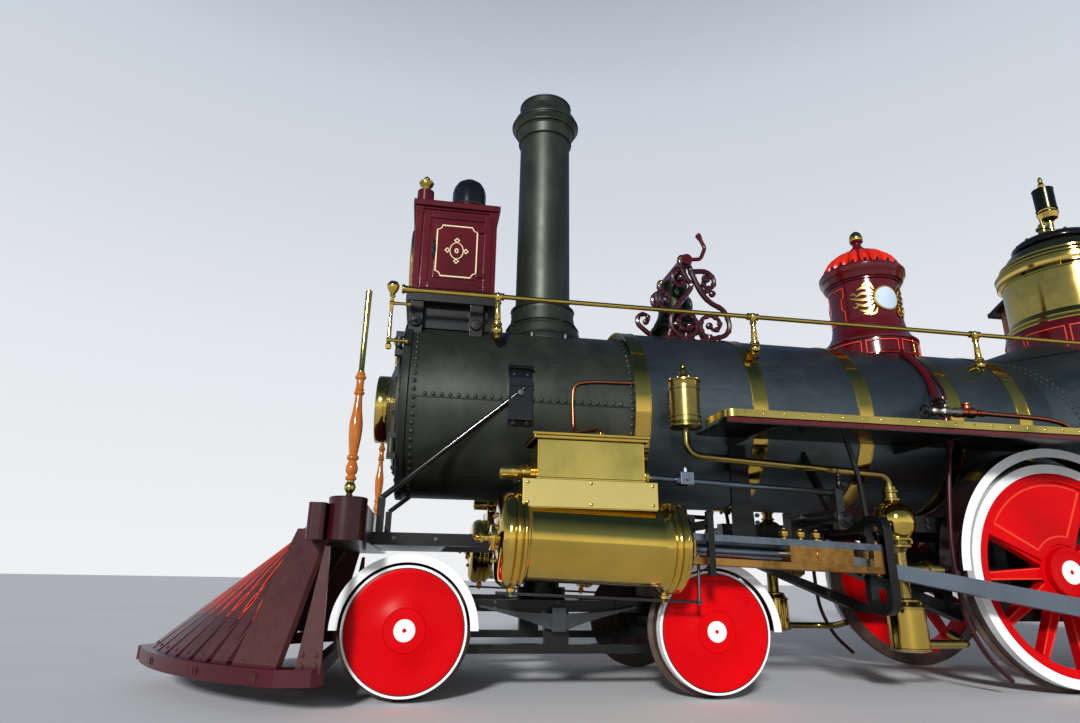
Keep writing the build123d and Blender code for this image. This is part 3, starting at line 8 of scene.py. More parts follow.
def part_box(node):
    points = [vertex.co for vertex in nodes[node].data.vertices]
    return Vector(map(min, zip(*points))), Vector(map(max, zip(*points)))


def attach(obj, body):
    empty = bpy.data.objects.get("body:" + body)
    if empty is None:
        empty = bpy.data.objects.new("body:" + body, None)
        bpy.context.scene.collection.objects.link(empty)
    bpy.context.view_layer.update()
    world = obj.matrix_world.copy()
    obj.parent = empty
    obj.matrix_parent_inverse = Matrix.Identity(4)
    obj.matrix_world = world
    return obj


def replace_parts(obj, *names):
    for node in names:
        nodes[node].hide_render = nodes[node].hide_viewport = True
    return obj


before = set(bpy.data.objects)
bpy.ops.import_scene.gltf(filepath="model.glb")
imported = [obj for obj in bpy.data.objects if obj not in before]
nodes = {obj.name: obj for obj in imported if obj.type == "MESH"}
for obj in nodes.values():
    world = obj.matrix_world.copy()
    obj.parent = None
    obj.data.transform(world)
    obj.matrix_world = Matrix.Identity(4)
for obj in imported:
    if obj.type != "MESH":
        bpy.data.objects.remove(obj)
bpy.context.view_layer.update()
print("frame loaded,", len(nodes), "nodes")


def tint(red, green, blue):  # a colour as a painter's chart gives it, 0 to 255, made linear
    def straight(value):
        share = value / 255
        return share / 12.92 if share <= 0.04045 else ((share + 0.055) / 1.055) ** 2.4
    return (straight(red), straight(green), straight(blue), 1.0)


# Places on the engine that several pieces share, read from the frame

def nodeBox(name):
    low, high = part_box(name)
    return low, high, (low + high) / 2


wheelLow, wheelHigh, wheelMid = nodeBox("truck_front_wheels")
rearWheelMid = nodeBox("truck_rear_wheels")[2]
driverMid = nodeBox("front_driver_axle")[2]
rearDriverMid = nodeBox("rear_driver_axle")[2]
stackMid = nodeBox("smokestack")[2]
cabLow, cabHigh = nodeBox("cab_walls")[:2]
boardLow, boardHigh = nodeBox("running_boards")[:2]
tyreFace = wheelHigh.y - 0.015  # outer face of the rims; the hubs stand further out
engineSides = (-1, 1)


# Materials: sockets that can be added up, and one method for every other node

def operator(operation):  # the operator, and the same with its sides changed round
    def plain(wire, other):
        return wire.reckon(operation, wire, other)

    def flipped(wire, other):
        return wire.reckon(operation, other, wire)

    return plain, flipped


class Wire:
    def __init__(self, paint, socket):
        self.paint = paint
        self.socket = socket

    def reckon(self, operation, first, second):
        return self.paint.node("Math", {"operation": operation}, {0: first, 1: second})

    __add__, __radd__ = operator("ADD")
    __sub__, __rsub__ = operator("SUBTRACT")
    __mul__, __rmul__ = operator("MULTIPLY")
    __truediv__, __rtruediv__ = operator("DIVIDE")
    __gt__ = operator("GREATER_THAN")[0]
    __lt__ = operator("LESS_THAN")[0]


class Paint:
    def __init__(self, name, fixed=None, owner=None, main="Principled BSDF"):
        self.material = owner or bpy.data.materials.new(name)
        self.material.use_nodes = True
        self.tree = self.material.node_tree
        self.shader = self.tree.nodes[main]
        for socket, value in (fixed or {}).items():
            self.shader.inputs[socket].default_value = value

    def node(self, kind, settings=None, sockets=None, out=0):  # kind without "ShaderNode"
        made = self.tree.nodes.new("ShaderNode" + kind)
        for key, value in (settings or {}).items():
            if key == "stops":
                ramp = made.color_ramp.elements
                while len(ramp) < len(value):
                    ramp.new(0.5)
                for stop, (at, shade) in zip(ramp, value):
                    stop.position = at
                    stop.color = shade if isinstance(shade, tuple) else (shade, shade, shade, 1)
            else:
                setattr(made, key, value)
        for key, value in (sockets or {}).items():
            if isinstance(value, Wire):
                self.tree.links.new(value.socket, made.inputs[key])
            else:
                made.inputs[key].default_value = value
        return Wire(self, made.outputs[out])

    def place(self, stretch=(1, 1, 1)):
        spot = self.node("TexCoord", out="Object")
        if stretch == (1, 1, 1):
            return spot
        return self.node("Mapping", sockets={"Vector": spot, "Scale": stretch})

    def axes(self):
        spot = self.place()
        return [self.node("SeparateXYZ", sockets={0: spot}, out=axis) for axis in range(3)]

    def noise(self, scale, detail=3.0, stretch=(1, 1, 1), rough=0.55):
        return self.node("TexNoise", sockets={"Vector": self.place(stretch), "Scale": scale,
            "Detail": detail, "Roughness": rough})

    def ramp(self, value, stops):
        return self.node("ValToRGB", {"stops": stops}, {"Fac": value})

    def blend(self, share, first, second, mode="MIX"):
        made = self.node("Mix", {"data_type": "RGBA", "blend_type": mode},
            {"Factor": share, 6: first, 7: second})
        return Wire(self, made.socket.node.outputs[2])

    def root(self, value):
        return self.node("Math", {"operation": "SQRT"}, {0: value})

    def clamp(self, value):
        return self.node("Clamp", sockets={"Value": value})

    def bump(self, height, strength=0.3, distance=0.002):
        return self.node("Bump", sockets={"Height": height, "Strength": strength, "Distance": distance})

    def feed(self, **links):
        for key, value in links.items():
            socket = self.shader.inputs[key.replace("_", " ")]
            if isinstance(value, Wire):
                self.tree.links.new(value.socket, socket)
            else:
                socket.default_value = value
        return self.material


def glossPaint(name, base, shade, gloss=0.25, dust=0.06, coat=0.3, grain=0.0, edge=1.34):
    paint = Paint(name, {"Coat Weight": coat, "Coat Roughness": 0.04, "Coat IOR": 1.4, "IOR": edge})
    cloud = paint.noise(2.2, 4)
    speck = paint.noise(38, 5, rough=0.7)
    worn = paint.ramp(cloud, [(0.35, base), (0.72, shade)])
    dusty = paint.ramp(speck, [(0.58, 0.0), (0.82, 1.0)])
    colour = paint.blend(dusty * dust, worn, tint(132, 122, 110))
    rough = paint.noise(9, 4) * 0.14 + gloss
    height = paint.noise(120, 2) * 0.6 + paint.noise(14, 3) * 0.4
    return paint.feed(Base_Color=colour, Roughness=rough, Normal=paint.bump(height, 0.05 + grain, 0.0012))


def bareMetal(name, base, shade, gloss, along=(1, 1, 1), tarnish=0.25, hammer=0.0, smear=0.12):
    paint = Paint(name, {"Metallic": 1.0})
    cloud = paint.noise(3.1, 5)
    streak = paint.noise(24, 4, along)
    patch = paint.ramp(cloud, [(0.42, 0.0), (0.74, 1.0)])
    colour = paint.blend(patch * tarnish, base, shade)
    rough = streak * smear + patch * tarnish * 0.15 + gloss
    fine = paint.noise(160, 3, along) * 0.5 + paint.noise(11, 3) * (0.5 + hammer)
    return paint.feed(Base_Color=colour, Roughness=rough, Normal=paint.bump(fine, 0.05 + hammer * 0.2,
        0.0012))


def planishedIron():  # blue-grey boiler jacket iron with its mottled bloom
    paint = Paint("planishedIron", {"Metallic": 0.92})
    cloud = paint.noise(1.4, 4)
    mottle = paint.node("TexVoronoi", {"feature": "SMOOTH_F1"}, {"Vector": paint.place(), "Scale": 26.0,
        "Smoothness": 0.7})
    streak = paint.noise(6, 4, (0.5, 1, 3))
    colour = paint.ramp(cloud * 0.75 + streak * 0.25, [(0.3, tint(66, 76, 78)), (0.55, tint(88, 98, 100)),
        (0.8, tint(118, 126, 124))])
    rough = paint.noise(5, 4) * 0.14 + mottle * 0.06 + 0.29
    return paint.feed(Base_Color=colour, Roughness=rough, Normal=paint.bump(mottle * 0.5 + streak * 0.5,
        0.12, 0.002))


def graphitePaint():  # smokebox and stack: dark blacking rubbed with graphite
    paint = Paint("graphitePaint", {"Metallic": 0.55})
    cloud = paint.noise(2.6, 5)
    streak = paint.noise(7, 4, (1, 1, 0.25))
    colour = paint.ramp(cloud * 0.5 + streak * 0.5, [(0.3, tint(34, 37, 33)), (0.55, tint(56, 60, 52)),
        (0.8, tint(80, 81, 68))])
    rough = paint.noise(12, 4) * 0.18 + 0.34
    return paint.feed(Base_Color=colour, Roughness=rough, Normal=paint.bump(paint.noise(90, 3), 0.18,
        0.002))


def varnishedWood(name, light, dark, board=0.0, upright=True, gloss=0.28):
    paint = Paint(name, {"Coat Weight": 0.35, "Coat Roughness": 0.15})
    stretch = (6, 6, 0.6) if upright else (0.6, 6, 6)
    grain = paint.noise(7, 6, stretch, 0.65)
    band = paint.noise(2.4, 3, stretch)
    colour = paint.ramp(grain * 0.6 + band * 0.4, [(0.3, dark), (0.68, light)])
    height = grain * 0.3
    if board:
        across = paint.axes()[0 if upright else 1] / board
        edge = paint.node("Math", {"operation": "PINGPONG"}, {0: across, 1: 0.5})
        seam = paint.ramp(edge, [(0.0, 0.0), (0.045, 1.0)])
        colour = paint.blend(1 - seam, colour, tint(26, 14, 8))
        height = height + seam * 0.7
    return paint.feed(Base_Color=colour, Roughness=grain * 0.18 + gloss, Normal=paint.bump(height, 0.35,
        0.003))


def clearGlass():
    paint = Paint("clearGlass", {"Transmission Weight": 0.85, "IOR": 1.45,
        "Base Color": tint(226, 238, 236)})
    return paint.feed(Roughness=paint.noise(3, 2) * 0.04 + 0.02)


def plainPaint(name, colour, gloss=0.4):  # lining and small painted marks
    paint = Paint(name)
    shade = tuple(value * 0.78 for value in colour[:3]) + (1,)
    return paint.feed(Base_Color=paint.ramp(paint.noise(20, 3), [(0.35, colour), (0.75, shade)]),
        Roughness=paint.noise(30, 3) * 0.2 + gloss)


maroon = glossPaint("maroonPaint", tint(92, 12, 20), tint(64, 8, 14), 0.12, 0.04, 0.35)
pilotMaroon = glossPaint("pilotMaroon", tint(82, 44, 40), tint(60, 32, 32), 0.34, 0.16, 0.08)
darkMaroon = glossPaint("darkMaroon", tint(58, 10, 24), tint(44, 10, 18), 0.2, 0.05, 0.3)
wheelRed = glossPaint("wheelRed", tint(212, 2, 10), tint(184, 2, 8), 0.2, 0.05, 0.06, edge=1.15)
whitePaint = glossPaint("whitePaint", tint(248, 250, 249), tint(232, 236, 233), 0.3, 0.12, 0.1)
frameBlack = glossPaint("frameBlack", tint(12, 13, 14), tint(20, 20, 19), 0.28, 0.08, 0.12)
glossBlack = glossPaint("glossBlack", tint(14, 15, 16), tint(20, 20, 21), 0.1, 0.04, 0.6)
brass = bareMetal("polishedBrass", tint(218, 184, 86), tint(158, 126, 46), 0.04, (1, 1, 1), 0.35,
    smear=0.06)
greenBrass = bareMetal("patinaBrass", tint(204, 182, 96), tint(120, 122, 60), 0.1, (1, 1, 1), 0.7)
oldBrass = bareMetal("oldBrass", tint(176, 150, 78), tint(84, 92, 56), 0.12, (1, 1, 1), 0.75, 0.15)
goldRing = bareMetal("goldRing", tint(218, 184, 88), tint(150, 116, 42), 0.08)
copper = bareMetal("copperPipe", tint(196, 112, 78), tint(92, 56, 40), 0.18, (1, 1, 1), 0.6)
steel = bareMetal("rodSteel", tint(128, 140, 150), tint(88, 98, 106), 0.28, (0.4, 4, 4), 0.4)
darkSteel = bareMetal("darkSteel", tint(80, 82, 84), tint(46, 44, 42), 0.3, (1, 1, 1), 0.6)
bronze = bareMetal("bellBronze", tint(70, 76, 54), tint(38, 44, 36), 0.2, (1, 1, 1), 0.7, 0.1)
guideBronze = bareMetal("guideBronze", tint(176, 132, 70), tint(110, 80, 44), 0.22, (0.4, 4, 4), 0.5)
castIron = glossPaint("castIron", tint(42, 42, 42), tint(54, 50, 47), 0.45, 0.2, 0.0, 0.2)
greySteel = bareMetal("valveCasting", tint(150, 146, 132), tint(104, 88, 66), 0.34, (1, 1, 1), 0.6)
leather = glossPaint("leatherSeat", tint(70, 36, 24), tint(46, 24, 17), 0.35, 0.05, 0.1, 0.1)
dialWhite = plainPaint("dialWhite", tint(228, 226, 214), 0.25)
jacketIron = planishedIron()
graphite = graphitePaint()
cabWood = varnishedWood("cabWood", tint(138, 72, 34), tint(74, 32, 14), 0.09)
deckWood = varnishedWood("deckWood", tint(128, 100, 66), tint(76, 56, 36), 0.14, False, 0.5)
glass = clearGlass()
orangeLine = plainPaint("orangeLine", tint(236, 60, 24))
creamLine = plainPaint("creamLine", tint(232, 214, 166))
goldPlate = bareMetal("goldPlate", tint(226, 204, 122), tint(196, 178, 104), 0.16, (4, 4, 0.5), 0.5)
orangePaint = glossPaint("orangePaint", tint(226, 44, 14), tint(186, 30, 10), 0.2, 0.06, 0.4)
enamel = glossPaint("paleEnamel", tint(214, 226, 234), tint(176, 198, 216), 0.14, 0.03, 0.5)
silver = bareMetal("silverBowl", tint(214, 216, 218), tint(170, 172, 174), 0.05)
greenBronze = bareMetal("greenBronze", tint(52, 54, 44), tint(84, 78, 50), 0.14, (1, 1, 1), 0.5)
goldLeaf = bareMetal("goldLeaf", tint(236, 198, 104), tint(180, 132, 46), 0.2)
print("paints mixed")


def treadPaint(name, axle, redOut, whiteOut):  # a wheel coloured by the distance from its axle
    paint = Paint(name, {"Coat Weight": 0.25, "Coat Roughness": 0.06, "IOR": 1.36})
    along, across, rise = paint.axes()
    reach = paint.root((along - axle.x) * (along - axle.x) + (rise - axle.z) * (rise - axle.z))
    sideways = paint.node("Math", {"operation": "ABSOLUTE"}, {0: across})
    onFace = sideways > tyreFace - 0.052
    red = paint.ramp(paint.noise(4, 4), [(0.3, tint(208, 2, 10)), (0.75, tint(178, 2, 8))])
    white = paint.ramp(paint.noise(9, 4), [(0.35, tint(246, 248, 247)), (0.8, tint(222, 224, 220))])
    bare = paint.ramp(paint.noise(14, 5), [(0.3, tint(120, 118, 112)), (0.7, tint(66, 60, 54))])
    inRed = (reach < redOut)
    colour = paint.blend(inRed, paint.blend(reach < whiteOut, bare, white), red)
    colour = paint.blend(onFace,
        paint.ramp(paint.noise(8, 4), [(0.3, tint(54, 30, 28)), (0.7, tint(88, 72, 60))]), colour)
    rust = paint.ramp(paint.noise(46, 5, rough=0.7), [(0.62, 0.0), (0.8, 0.5)])
    colour = paint.blend(rust * 0.35, colour, tint(120, 90, 70))
    metal = 1 - paint.clamp(inRed + (reach < whiteOut))
    return paint.feed(Base_Color=colour, Metallic=metal * onFace * 0.9,
        Roughness=paint.noise(16, 4) * 0.2 + 0.2, Normal=paint.bump(paint.noise(60, 3), 0.12, 0.001))


def zonePaint(name, ground, zones, gloss=0.16, coat=0.25, grain=(1, 1, 1)):
    paint = Paint(name, {"Coat Weight": coat, "Coat Roughness": 0.05, "IOR": 1.36})
    along, across, rise = paint.axes()  # a zone's test gets x, y from the middle and z
    sideways = paint.node("Math", {"operation": "ABSOLUTE"}, {0: across})
    cloud = paint.noise(3.2, 4, grain) * 0.6 + paint.noise(24, 4, grain) * 0.4
    colour = paint.ramp(cloud, [(0.38, ground[0]), (0.66, ground[1])])
    metal = ground[2]
    for test, light, dark, metallic in zones:
        share = test(along, sideways, rise)
        colour = paint.blend(share, colour, paint.ramp(cloud, [(0.38, light), (0.66, dark)]))
        metal = share * (metallic - metal) + metal
    return paint.feed(Base_Color=colour, Metallic=metal, Roughness=paint.noise(12, 4) * 0.12 + gloss,
        Normal=paint.bump(paint.noise(90, 3), 0.05, 0.0012))


def dress(material, *names):
    for name in names:
        data = nodes[name].data
        data.materials.clear()
        data.materials.append(material)


railTop = 0.028
maroonPair = (tint(92, 12, 20), tint(64, 8, 14), 0.0)
blackPair = (tint(18, 19, 20), tint(28, 27, 26), 0.0)
skinPair = (tint(44, 16, 16), tint(26, 14, 13), 0.0)
brassPair = (tint(214, 184, 92), tint(150, 124, 50), 1.0)
whitePair = (tint(248, 250, 249), tint(232, 236, 233), 0.0)
woodPair = (tint(206, 118, 30), tint(138, 66, 14), 0.0)
steelPair = (tint(118, 130, 140), tint(84, 94, 102), 1.0)
bronzePair = (tint(182, 134, 70), tint(112, 80, 42), 1.0)
greenPair = (tint(52, 54, 44), tint(36, 38, 31), 0.9)
domePair = (tint(208, 178, 90), tint(178, 150, 70), 1.0)
truckTyre = (wheelHigh.z - wheelLow.z) / 2 - 0.028
dress(treadPaint("frontTruckWheelPaint", wheelMid, truckTyre - 0.047, truckTyre + 0.001),
    "truck_front_wheels")
dress(treadPaint("rearTruckWheelPaint", rearWheelMid, truckTyre - 0.047, truckTyre + 0.001),
    "truck_rear_wheels")
driverTyre = nodeBox("front_driver_tyres")[1].z - driverMid.z - 0.028
dress(treadPaint("frontTyrePaint", driverMid, 0.0, driverTyre + 0.001), "front_driver_tyres")
dress(treadPaint("rearTyrePaint", rearDriverMid, 0.0, driverTyre + 0.001), "rear_driver_tyres")
dress(wheelRed, "front_driver_centres", "rear_driver_centres")
dress(zonePaint("fenderPaint", skinPair, [(lambda x, y, z: y > 0.838, *whitePair)]), "truck_fenders")
dress(zonePaint("coverPaint", skinPair, [(lambda x, y, z: y > 0.8515, *whitePair)]), "wheel_covers")
staffWood = zonePaint("staffWood", woodPair, [], 0.08, 0.5, (5, 5, 0.5))
dress(zonePaint("lampPaint", maroonPair, [(lambda x, y, z: (z > 3.318) * (x > -3.2), *blackPair),
    (lambda x, y, z: (z > 3.318) * (x < -3.2), *brassPair)]), "headlight")
dress(zonePaint("steamDomePaint", domePair, [(lambda x, y, z: z < railTop + 2.695, *maroonPair),
    (lambda x, y, z: z > railTop + 3.49, *blackPair)], 0.07), "steam_dome")
dress(zonePaint("sandDomePaint", maroonPair, [(lambda x, y, z: z > railTop + 3.358, *brassPair)], 0.1,
    0.4), "sand_dome")
dress(zonePaint("whistlePaint", brassPair,
    [(lambda x, y, z: (z > railTop + 3.888) * (z < railTop + 4.118), *greenPair)], 0.1), "whistle")
dress(zonePaint("guidePaint", steelPair, [(lambda x, y, z: z + x * 0.0314 < 0.731, *bronzePair)], 0.24,
    0.0), "crosshead_guides")
dress(zonePaint("slipperPaint", steelPair,
    [(lambda x, y, z: (x > -1.3) * (x < -0.82) * ((y > 1.038) + (y < 0.962)), *bronzePair)], 0.24, 0.0),
    "crosshead_left", "crosshead_right")
dress(zonePaint("boardPaint", blackPair, [(lambda x, y, z: (y > 1.2495) * (z > 1.474), *maroonPair)]),
    "running_boards")
dress(maroon, "headlight_door", "bell_stand", "bell_yoke")
dress(zonePaint("pilotPaint", (tint(84, 46, 42), tint(62, 34, 33), 0.0),
    [(lambda x, y, z: z < railTop + 0.196, tint(74, 14, 24), tint(52, 12, 18), 0.0)], 0.3, 0.1), "pilot")
dress(darkMaroon, "pilot_beam")
dress(brass, "cylinders", "boiler_bands", "handrails", "backhead_fittings")
dress(greenBrass, "steam_chests")
dress(oldBrass, "feed_pumps")
dress(frameBlack, "frame_left", "frame_right", "cylinder_saddle", "guide_yokes", "driving_springs",
    "truck_frame", "rear_deck", "smokebox_door_hinges", "cab_roof", "waist_braces", "headlight_bracket")
dress(zonePaint("valveRodPaint", blackPair, [(lambda x, y, z: (z > 1.15) * (x < -0.86), *steelPair)],
    0.24), "valve_rods")
dress(glossBlack, "smokebox_braces")
dress(graphite, "smokebox", "smokebox_door", "smokestack")
dress(jacketIron, "boiler")
dress(steel, "main_rod_left", "main_rod_right", "side_rod_left", "side_rod_right")
dress(darkSteel, "truck_front_axle", "truck_rear_axle", "front_driver_axle", "rear_driver_axle")
dress(bronze, "bell")
dress(castIron, "fire_door")
dress(cabWood, "cab_walls", "cab_door_left", "cab_door_right")
dress(deckWood, "cab_floor")
dress(glass, "headlight_glass")
print("frame dressed")


# Floor, light and camera

studio = {"floorReach": 160, "floorColour": tint(222, 223, 225), "sunStrength": 3.2,
    "sunFrom": (-0.32, -0.86, 0.36), "sunAngle": 7, "skyStrength": 0.5}


def makeStudio():
    bpy.ops.mesh.primitive_plane_add(size=studio["floorReach"])
    floor = bpy.context.object
    floor.name = "floor"
    paint = Paint("floorPaint")
    pale = paint.ramp(paint.noise(0.8, 3), [(0.3, studio["floorColour"]), (0.8, tint(214, 215, 218))])
    floor.data.materials.append(paint.feed(Base_Color=pale, Roughness=0.85))
    sun = bpy.data.objects.new("sun", bpy.data.lights.new("sun", "SUN"))
    sun.data.energy = studio["sunStrength"]
    sun.data.angle = radians(studio["sunAngle"])
    sun.rotation_euler = (-Vector(studio["sunFrom"])).to_track_quat("-Z", "Y").to_euler()
    bpy.context.collection.objects.link(sun)
    world = bpy.data.worlds.new("studioSky")
    sky = Paint("studioSky", owner=world, main="Background")
    bpy.context.scene.world = world
    rise = sky.node("SeparateXYZ", sockets={0: sky.node("TexCoord", out="Generated")}, out=2)
    seen = sky.node("LightPath", out="Is Camera Ray")
    for kind in ("Is Glossy Ray", "Is Transmission Ray"):
        seen = seen + sky.node("LightPath", out=kind)
    low = studio["skyStrength"]
    pale = sky.ramp(rise, [(0.0, tint(240, 241, 243)), (0.3, tint(228, 231, 236)),
        (0.62, tint(200, 208, 219)), (0.95, tint(70, 80, 96))])
    deep = sky.ramp(rise, [(0.0, tint(250, 250, 250)), (0.16, tint(226, 230, 236)),
        (0.34, tint(120, 142, 172)), (0.8, tint(40, 60, 96))])
    glossy = sky.node("LightPath", out="Is Glossy Ray")
    sky.feed(Color=sky.blend(glossy, pale, deep), Strength=sky.clamp(seen) * (1 - low) + low)
    bpy.context.scene.view_settings.view_transform = "Standard"


lens = {"place": (-3.243, -4.7, 0.64), "yaw": 9.34, "pitch": 17.51, "roll": 0.94, "focalPixels": 680.2,
    "frameWidth": 1080, "sensor": 36}


def makeCamera():
    yaw, pitch, roll = (radians(lens[key]) for key in ("yaw", "pitch", "roll"))
    ahead = Vector((sin(yaw) * cos(pitch), cos(yaw) * cos(pitch), sin(pitch)))
    level = Vector((cos(yaw), -sin(yaw), 0))
    upright = level.cross(ahead)
    right = cos(roll) * level + sin(roll) * upright
    up = -sin(roll) * level + cos(roll) * upright
    camera = bpy.data.objects.new("camera", bpy.data.cameras.new("camera"))
    camera.matrix_world = Matrix.Translation(lens["place"]) @ Matrix(
        (right, up, -ahead)).transposed().to_4x4()
    camera.data.sensor_width = lens["sensor"]
    camera.data.lens = lens["focalPixels"] * lens["sensor"] / lens["frameWidth"]
    camera.data.clip_start = 0.05
    camera.data.clip_end = 400
    bpy.context.collection.objects.link(camera)
    bpy.context.scene.camera = camera


makeStudio()
makeCamera()
print("studio and camera set")


# Mesh work: everything that a piece is made of is gathered in one forge

forward, rearward, leftward = (-1, 0, 0), (1, 0, 0), (0, -1, 0)
rightward, upward, downward = (0, 1, 0), (0, 0, 1), (0, 0, -1)


def neighbours(points, closed):  # each point between the one before it and the one after it
    count = len(points)
    return [(points[i - 1] if i or closed else points[i], points[i],
        points[(i + 1) % count] if i + 1 < count or closed else points[i]) for i in range(count)]


class Forge:
    def __init__(self):
        self.mesh = bmesh.new()

    def ring(self, centre, first, second, radius, steps):
        turn = tau / steps
        return [self.mesh.verts.new(centre + radius * (cos(turn * i) * first + sin(turn * i) * second))
            for i in range(steps)]

    def bridge(self, rings, closed=False):
        pairs = list(zip(rings, rings[1:]))
        if closed:
            pairs.append((rings[-1], rings[0]))
        for near, far in pairs:
            count = max(len(near), len(far))
            for i in range(count):
                j = (i + 1) % count
                if len(near) == 1:
                    corners = (near[0], far[j], far[i])
                elif len(far) == 1:
                    corners = (near[i], near[j], far[0])
                else:
                    corners = (near[i], near[j], far[j], far[i])
                self.mesh.faces.new(corners)
        if not closed:
            for end in (rings[0], rings[-1]):
                if len(end) > 2:
                    self.mesh.faces.new(end)
        return self

    def turned(self, origin, axis, profile, steps=32, closed=False):
        axis = Vector(axis).normalized()
        first = axis.orthogonal().normalized()
        rings = []
        for along, radius in profile:
            centre = Vector(origin) + axis * along
            if radius < 1e-5:
                rings.append([self.mesh.verts.new(centre)])
            else:
                rings.append(self.ring(centre, first, axis.cross(first), radius, steps))
        return self.bridge(rings, closed)

    def hoop(self, origin, axis, profile, steps):  # a turned ring, its profile closed
        return self.turned(origin, axis, profile, steps, True)

    def lathe(self, origin, axis, profile, steps, closed=False):  # turned, its profile in millimetres
        metres = [(along / 1000, radius / 1000) for along, radius in profile]
        return self.turned(origin, axis, metres, steps, closed)

    def collar(self, origin, axis, profile, steps):  # a hoop, its profile in millimetres
        return self.lathe(origin, axis, profile, steps, True)

    def bead(self, origin, axis, radius, half, flat, sink, stand, steps):  # a ring round a body
        return self.hoop(origin, axis, ((-half, radius - sink), (-flat, radius + stand),
            (flat, radius + stand), (half, radius - sink)), steps)

    def tube(self, points, radius, steps=10, closed=False):
        points = [Vector(point) for point in points]
        radii = radius if isinstance(radius, list) else [radius] * len(points)
        side = None
        rings = []
        for i, (before, point, after) in enumerate(neighbours(points, closed)):
            along = (after - before).normalized()
            side = along.orthogonal() if side is None else side - along * side.dot(along)
            side.normalize()
            rings.append(self.ring(point, side, along.cross(side), radii[i], steps))
        return self.bridge(rings, closed)

    def box(self, low, high):
        (x0, y0, z0), (x1, y1, z1) = low, high
        rings = [[self.mesh.verts.new(corner) for corner in ((x0, y0, z), (x1, y0, z), (x1, y1, z),
            (x0, y1, z))] for z in (z0, z1)]
        return self.bridge(rings)

    def beam(self, start, end, width, depth, across):  # a flat bar, its width lying across
        start, end = Vector(start), Vector(end)
        along = (end - start).normalized()
        wide = Vector(across) - along * along.dot(Vector(across))
        wide = wide.normalized() * width / 2
        deep = along.cross(wide).normalized() * depth / 2
        rings = [[self.mesh.verts.new(at + corner) for corner in (-wide - deep, wide - deep, wide + deep,
            -wide + deep)] for at in (start, end)]
        return self.bridge(rings)

    def plate(self, outline, place, thickness):  # place turns an outline point into the space
        rings = [[self.mesh.verts.new(place(*point, lift)) for point in outline]
            for lift in (0, thickness)]
        return self.bridge(rings)

    def stud(self, at, out, radius, height, steps=8):
        return self.turned(Vector(at), out, ((-height * 0.4, radius), (height * 0.45, radius * 0.94),
            (height * 0.85, radius * 0.6), (height, 0)), steps)

    def nut(self, at, out, radius, height):
        out = Vector(out).normalized()
        self.turned(Vector(at), out, ((-height * 0.3, radius), (height, radius)), 6)
        return self.turned(Vector(at) + out * height, out, ((-height * 0.1, radius * 0.5),
            (height * 0.35, radius * 0.5), (height * 0.5, 0)), 8)

    def ribbon(self, points, outs, width, lift, closed=False):  # a painted line or thin band
        points = [Vector(point) for point in points]
        outs = outs if isinstance(outs, list) else [outs] * len(points)
        rings = []
        for i, (before, point, after) in enumerate(neighbours(points, closed)):
            out = Vector(outs[i]).normalized()
            wide = width[i] if isinstance(width, list) else width
            half = (after - before).cross(out).normalized() * wide / 2
            stretch = 1.0
            if before != point != after:
                first = (point - before).normalized()
                second = (after - point).normalized()
                stretch = 1 / max(0.6, sqrt(max(0.0, (1 + first.dot(second)) / 2)))
            half *= stretch
            rings.append([self.mesh.verts.new(corner) for corner in (point - half - out * 0.0015,
                point + half - out * 0.0015, point + half + out * lift, point - half + out * lift)])
        return self.bridge(rings, closed)

    def border(self, points, outs, width, lift):  # a ribbon whose ends meet
        return self.ribbon(points, outs, width, lift, True)

    def mirrored(self):  # the same again on the engine's other side
        made = bmesh.ops.duplicate(self.mesh,
            geom=self.mesh.verts[:] + self.mesh.edges[:] + self.mesh.faces[:])["geom"]
        for vert in made:
            if isinstance(vert, bmesh.types.BMVert):
                vert.co.y = -vert.co.y
        return self

    def done(self, name, body, material, bevel=0.0, sharp=38):
        bmesh.ops.recalc_face_normals(self.mesh, faces=self.mesh.faces[:])
        data = bpy.data.meshes.new(name)
        self.mesh.to_mesh(data)
        self.mesh.free()
        data.shade_smooth()
        data.set_sharp_from_angle(angle=radians(sharp))
        data.materials.append(material)
        piece = bpy.data.objects.new(name, data)
        bpy.context.collection.objects.link(piece)
        if bevel:
            edge = piece.modifiers.new("edge", "BEVEL")
            edge.width = bevel
            edge.segments = 2
            edge.limit_method = "ANGLE"
            edge.harden_normals = True
        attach(piece, body)
        return piece


def lifted(place, rise):
    return Vector(place) + Vector((0, 0, rise))


def forges(count):
    return [Forge() for _ in range(count)]


def settle(*rows, body="engine", twice=False):  # rows of forge, piece, material, bevel; twice mirrors
    for forge, name, material, *bevel in rows:
        if twice:
            forge.mirrored()
        forge.done(name, body, material, *bevel)


def around(count, start=0.0):  # cosine and sine of evenly spaced turns
    turns = [tau * (step + start) / count for step in range(count)]
    return [(cos(turn), sin(turn)) for turn in turns]


def rounded(points, radius, steps=6):  # a pipe's line with its corners bent round
    points = [Vector(point) for point in points]
    line = [points[0]]
    for before, corner, after in zip(points, points[1:], points[2:]):
        reach = min(radius, (before - corner).length * 0.48, (after - corner).length * 0.48)
        start = corner + (before - corner).normalized() * reach
        end = corner + (after - corner).normalized() * reach
        for step in range(steps + 1):
            share = step / steps
            line.append(start.lerp(corner, share).lerp(corner.lerp(end, share), share))
    line.append(points[-1])
    return line


def smoothed(points, steps=5):  # a curve through the given points
    line = []
    count = len(points)
    for i in range(count - 1):
        before, start = Vector(points[max(i - 1, 0)]), Vector(points[i])
        end, after = Vector(points[i + 1]), Vector(points[min(i + 2, count - 1)])
        for step in range(steps):
            t = step / steps
            line.append(0.5 * (2 * start + (end - before) * t + (2 * before - 5 * start + 4 * end
                - after) * t ** 2 + (3 * start - before - 3 * end + after) * t ** 3))
    line.append(Vector(points[-1]))
    return line


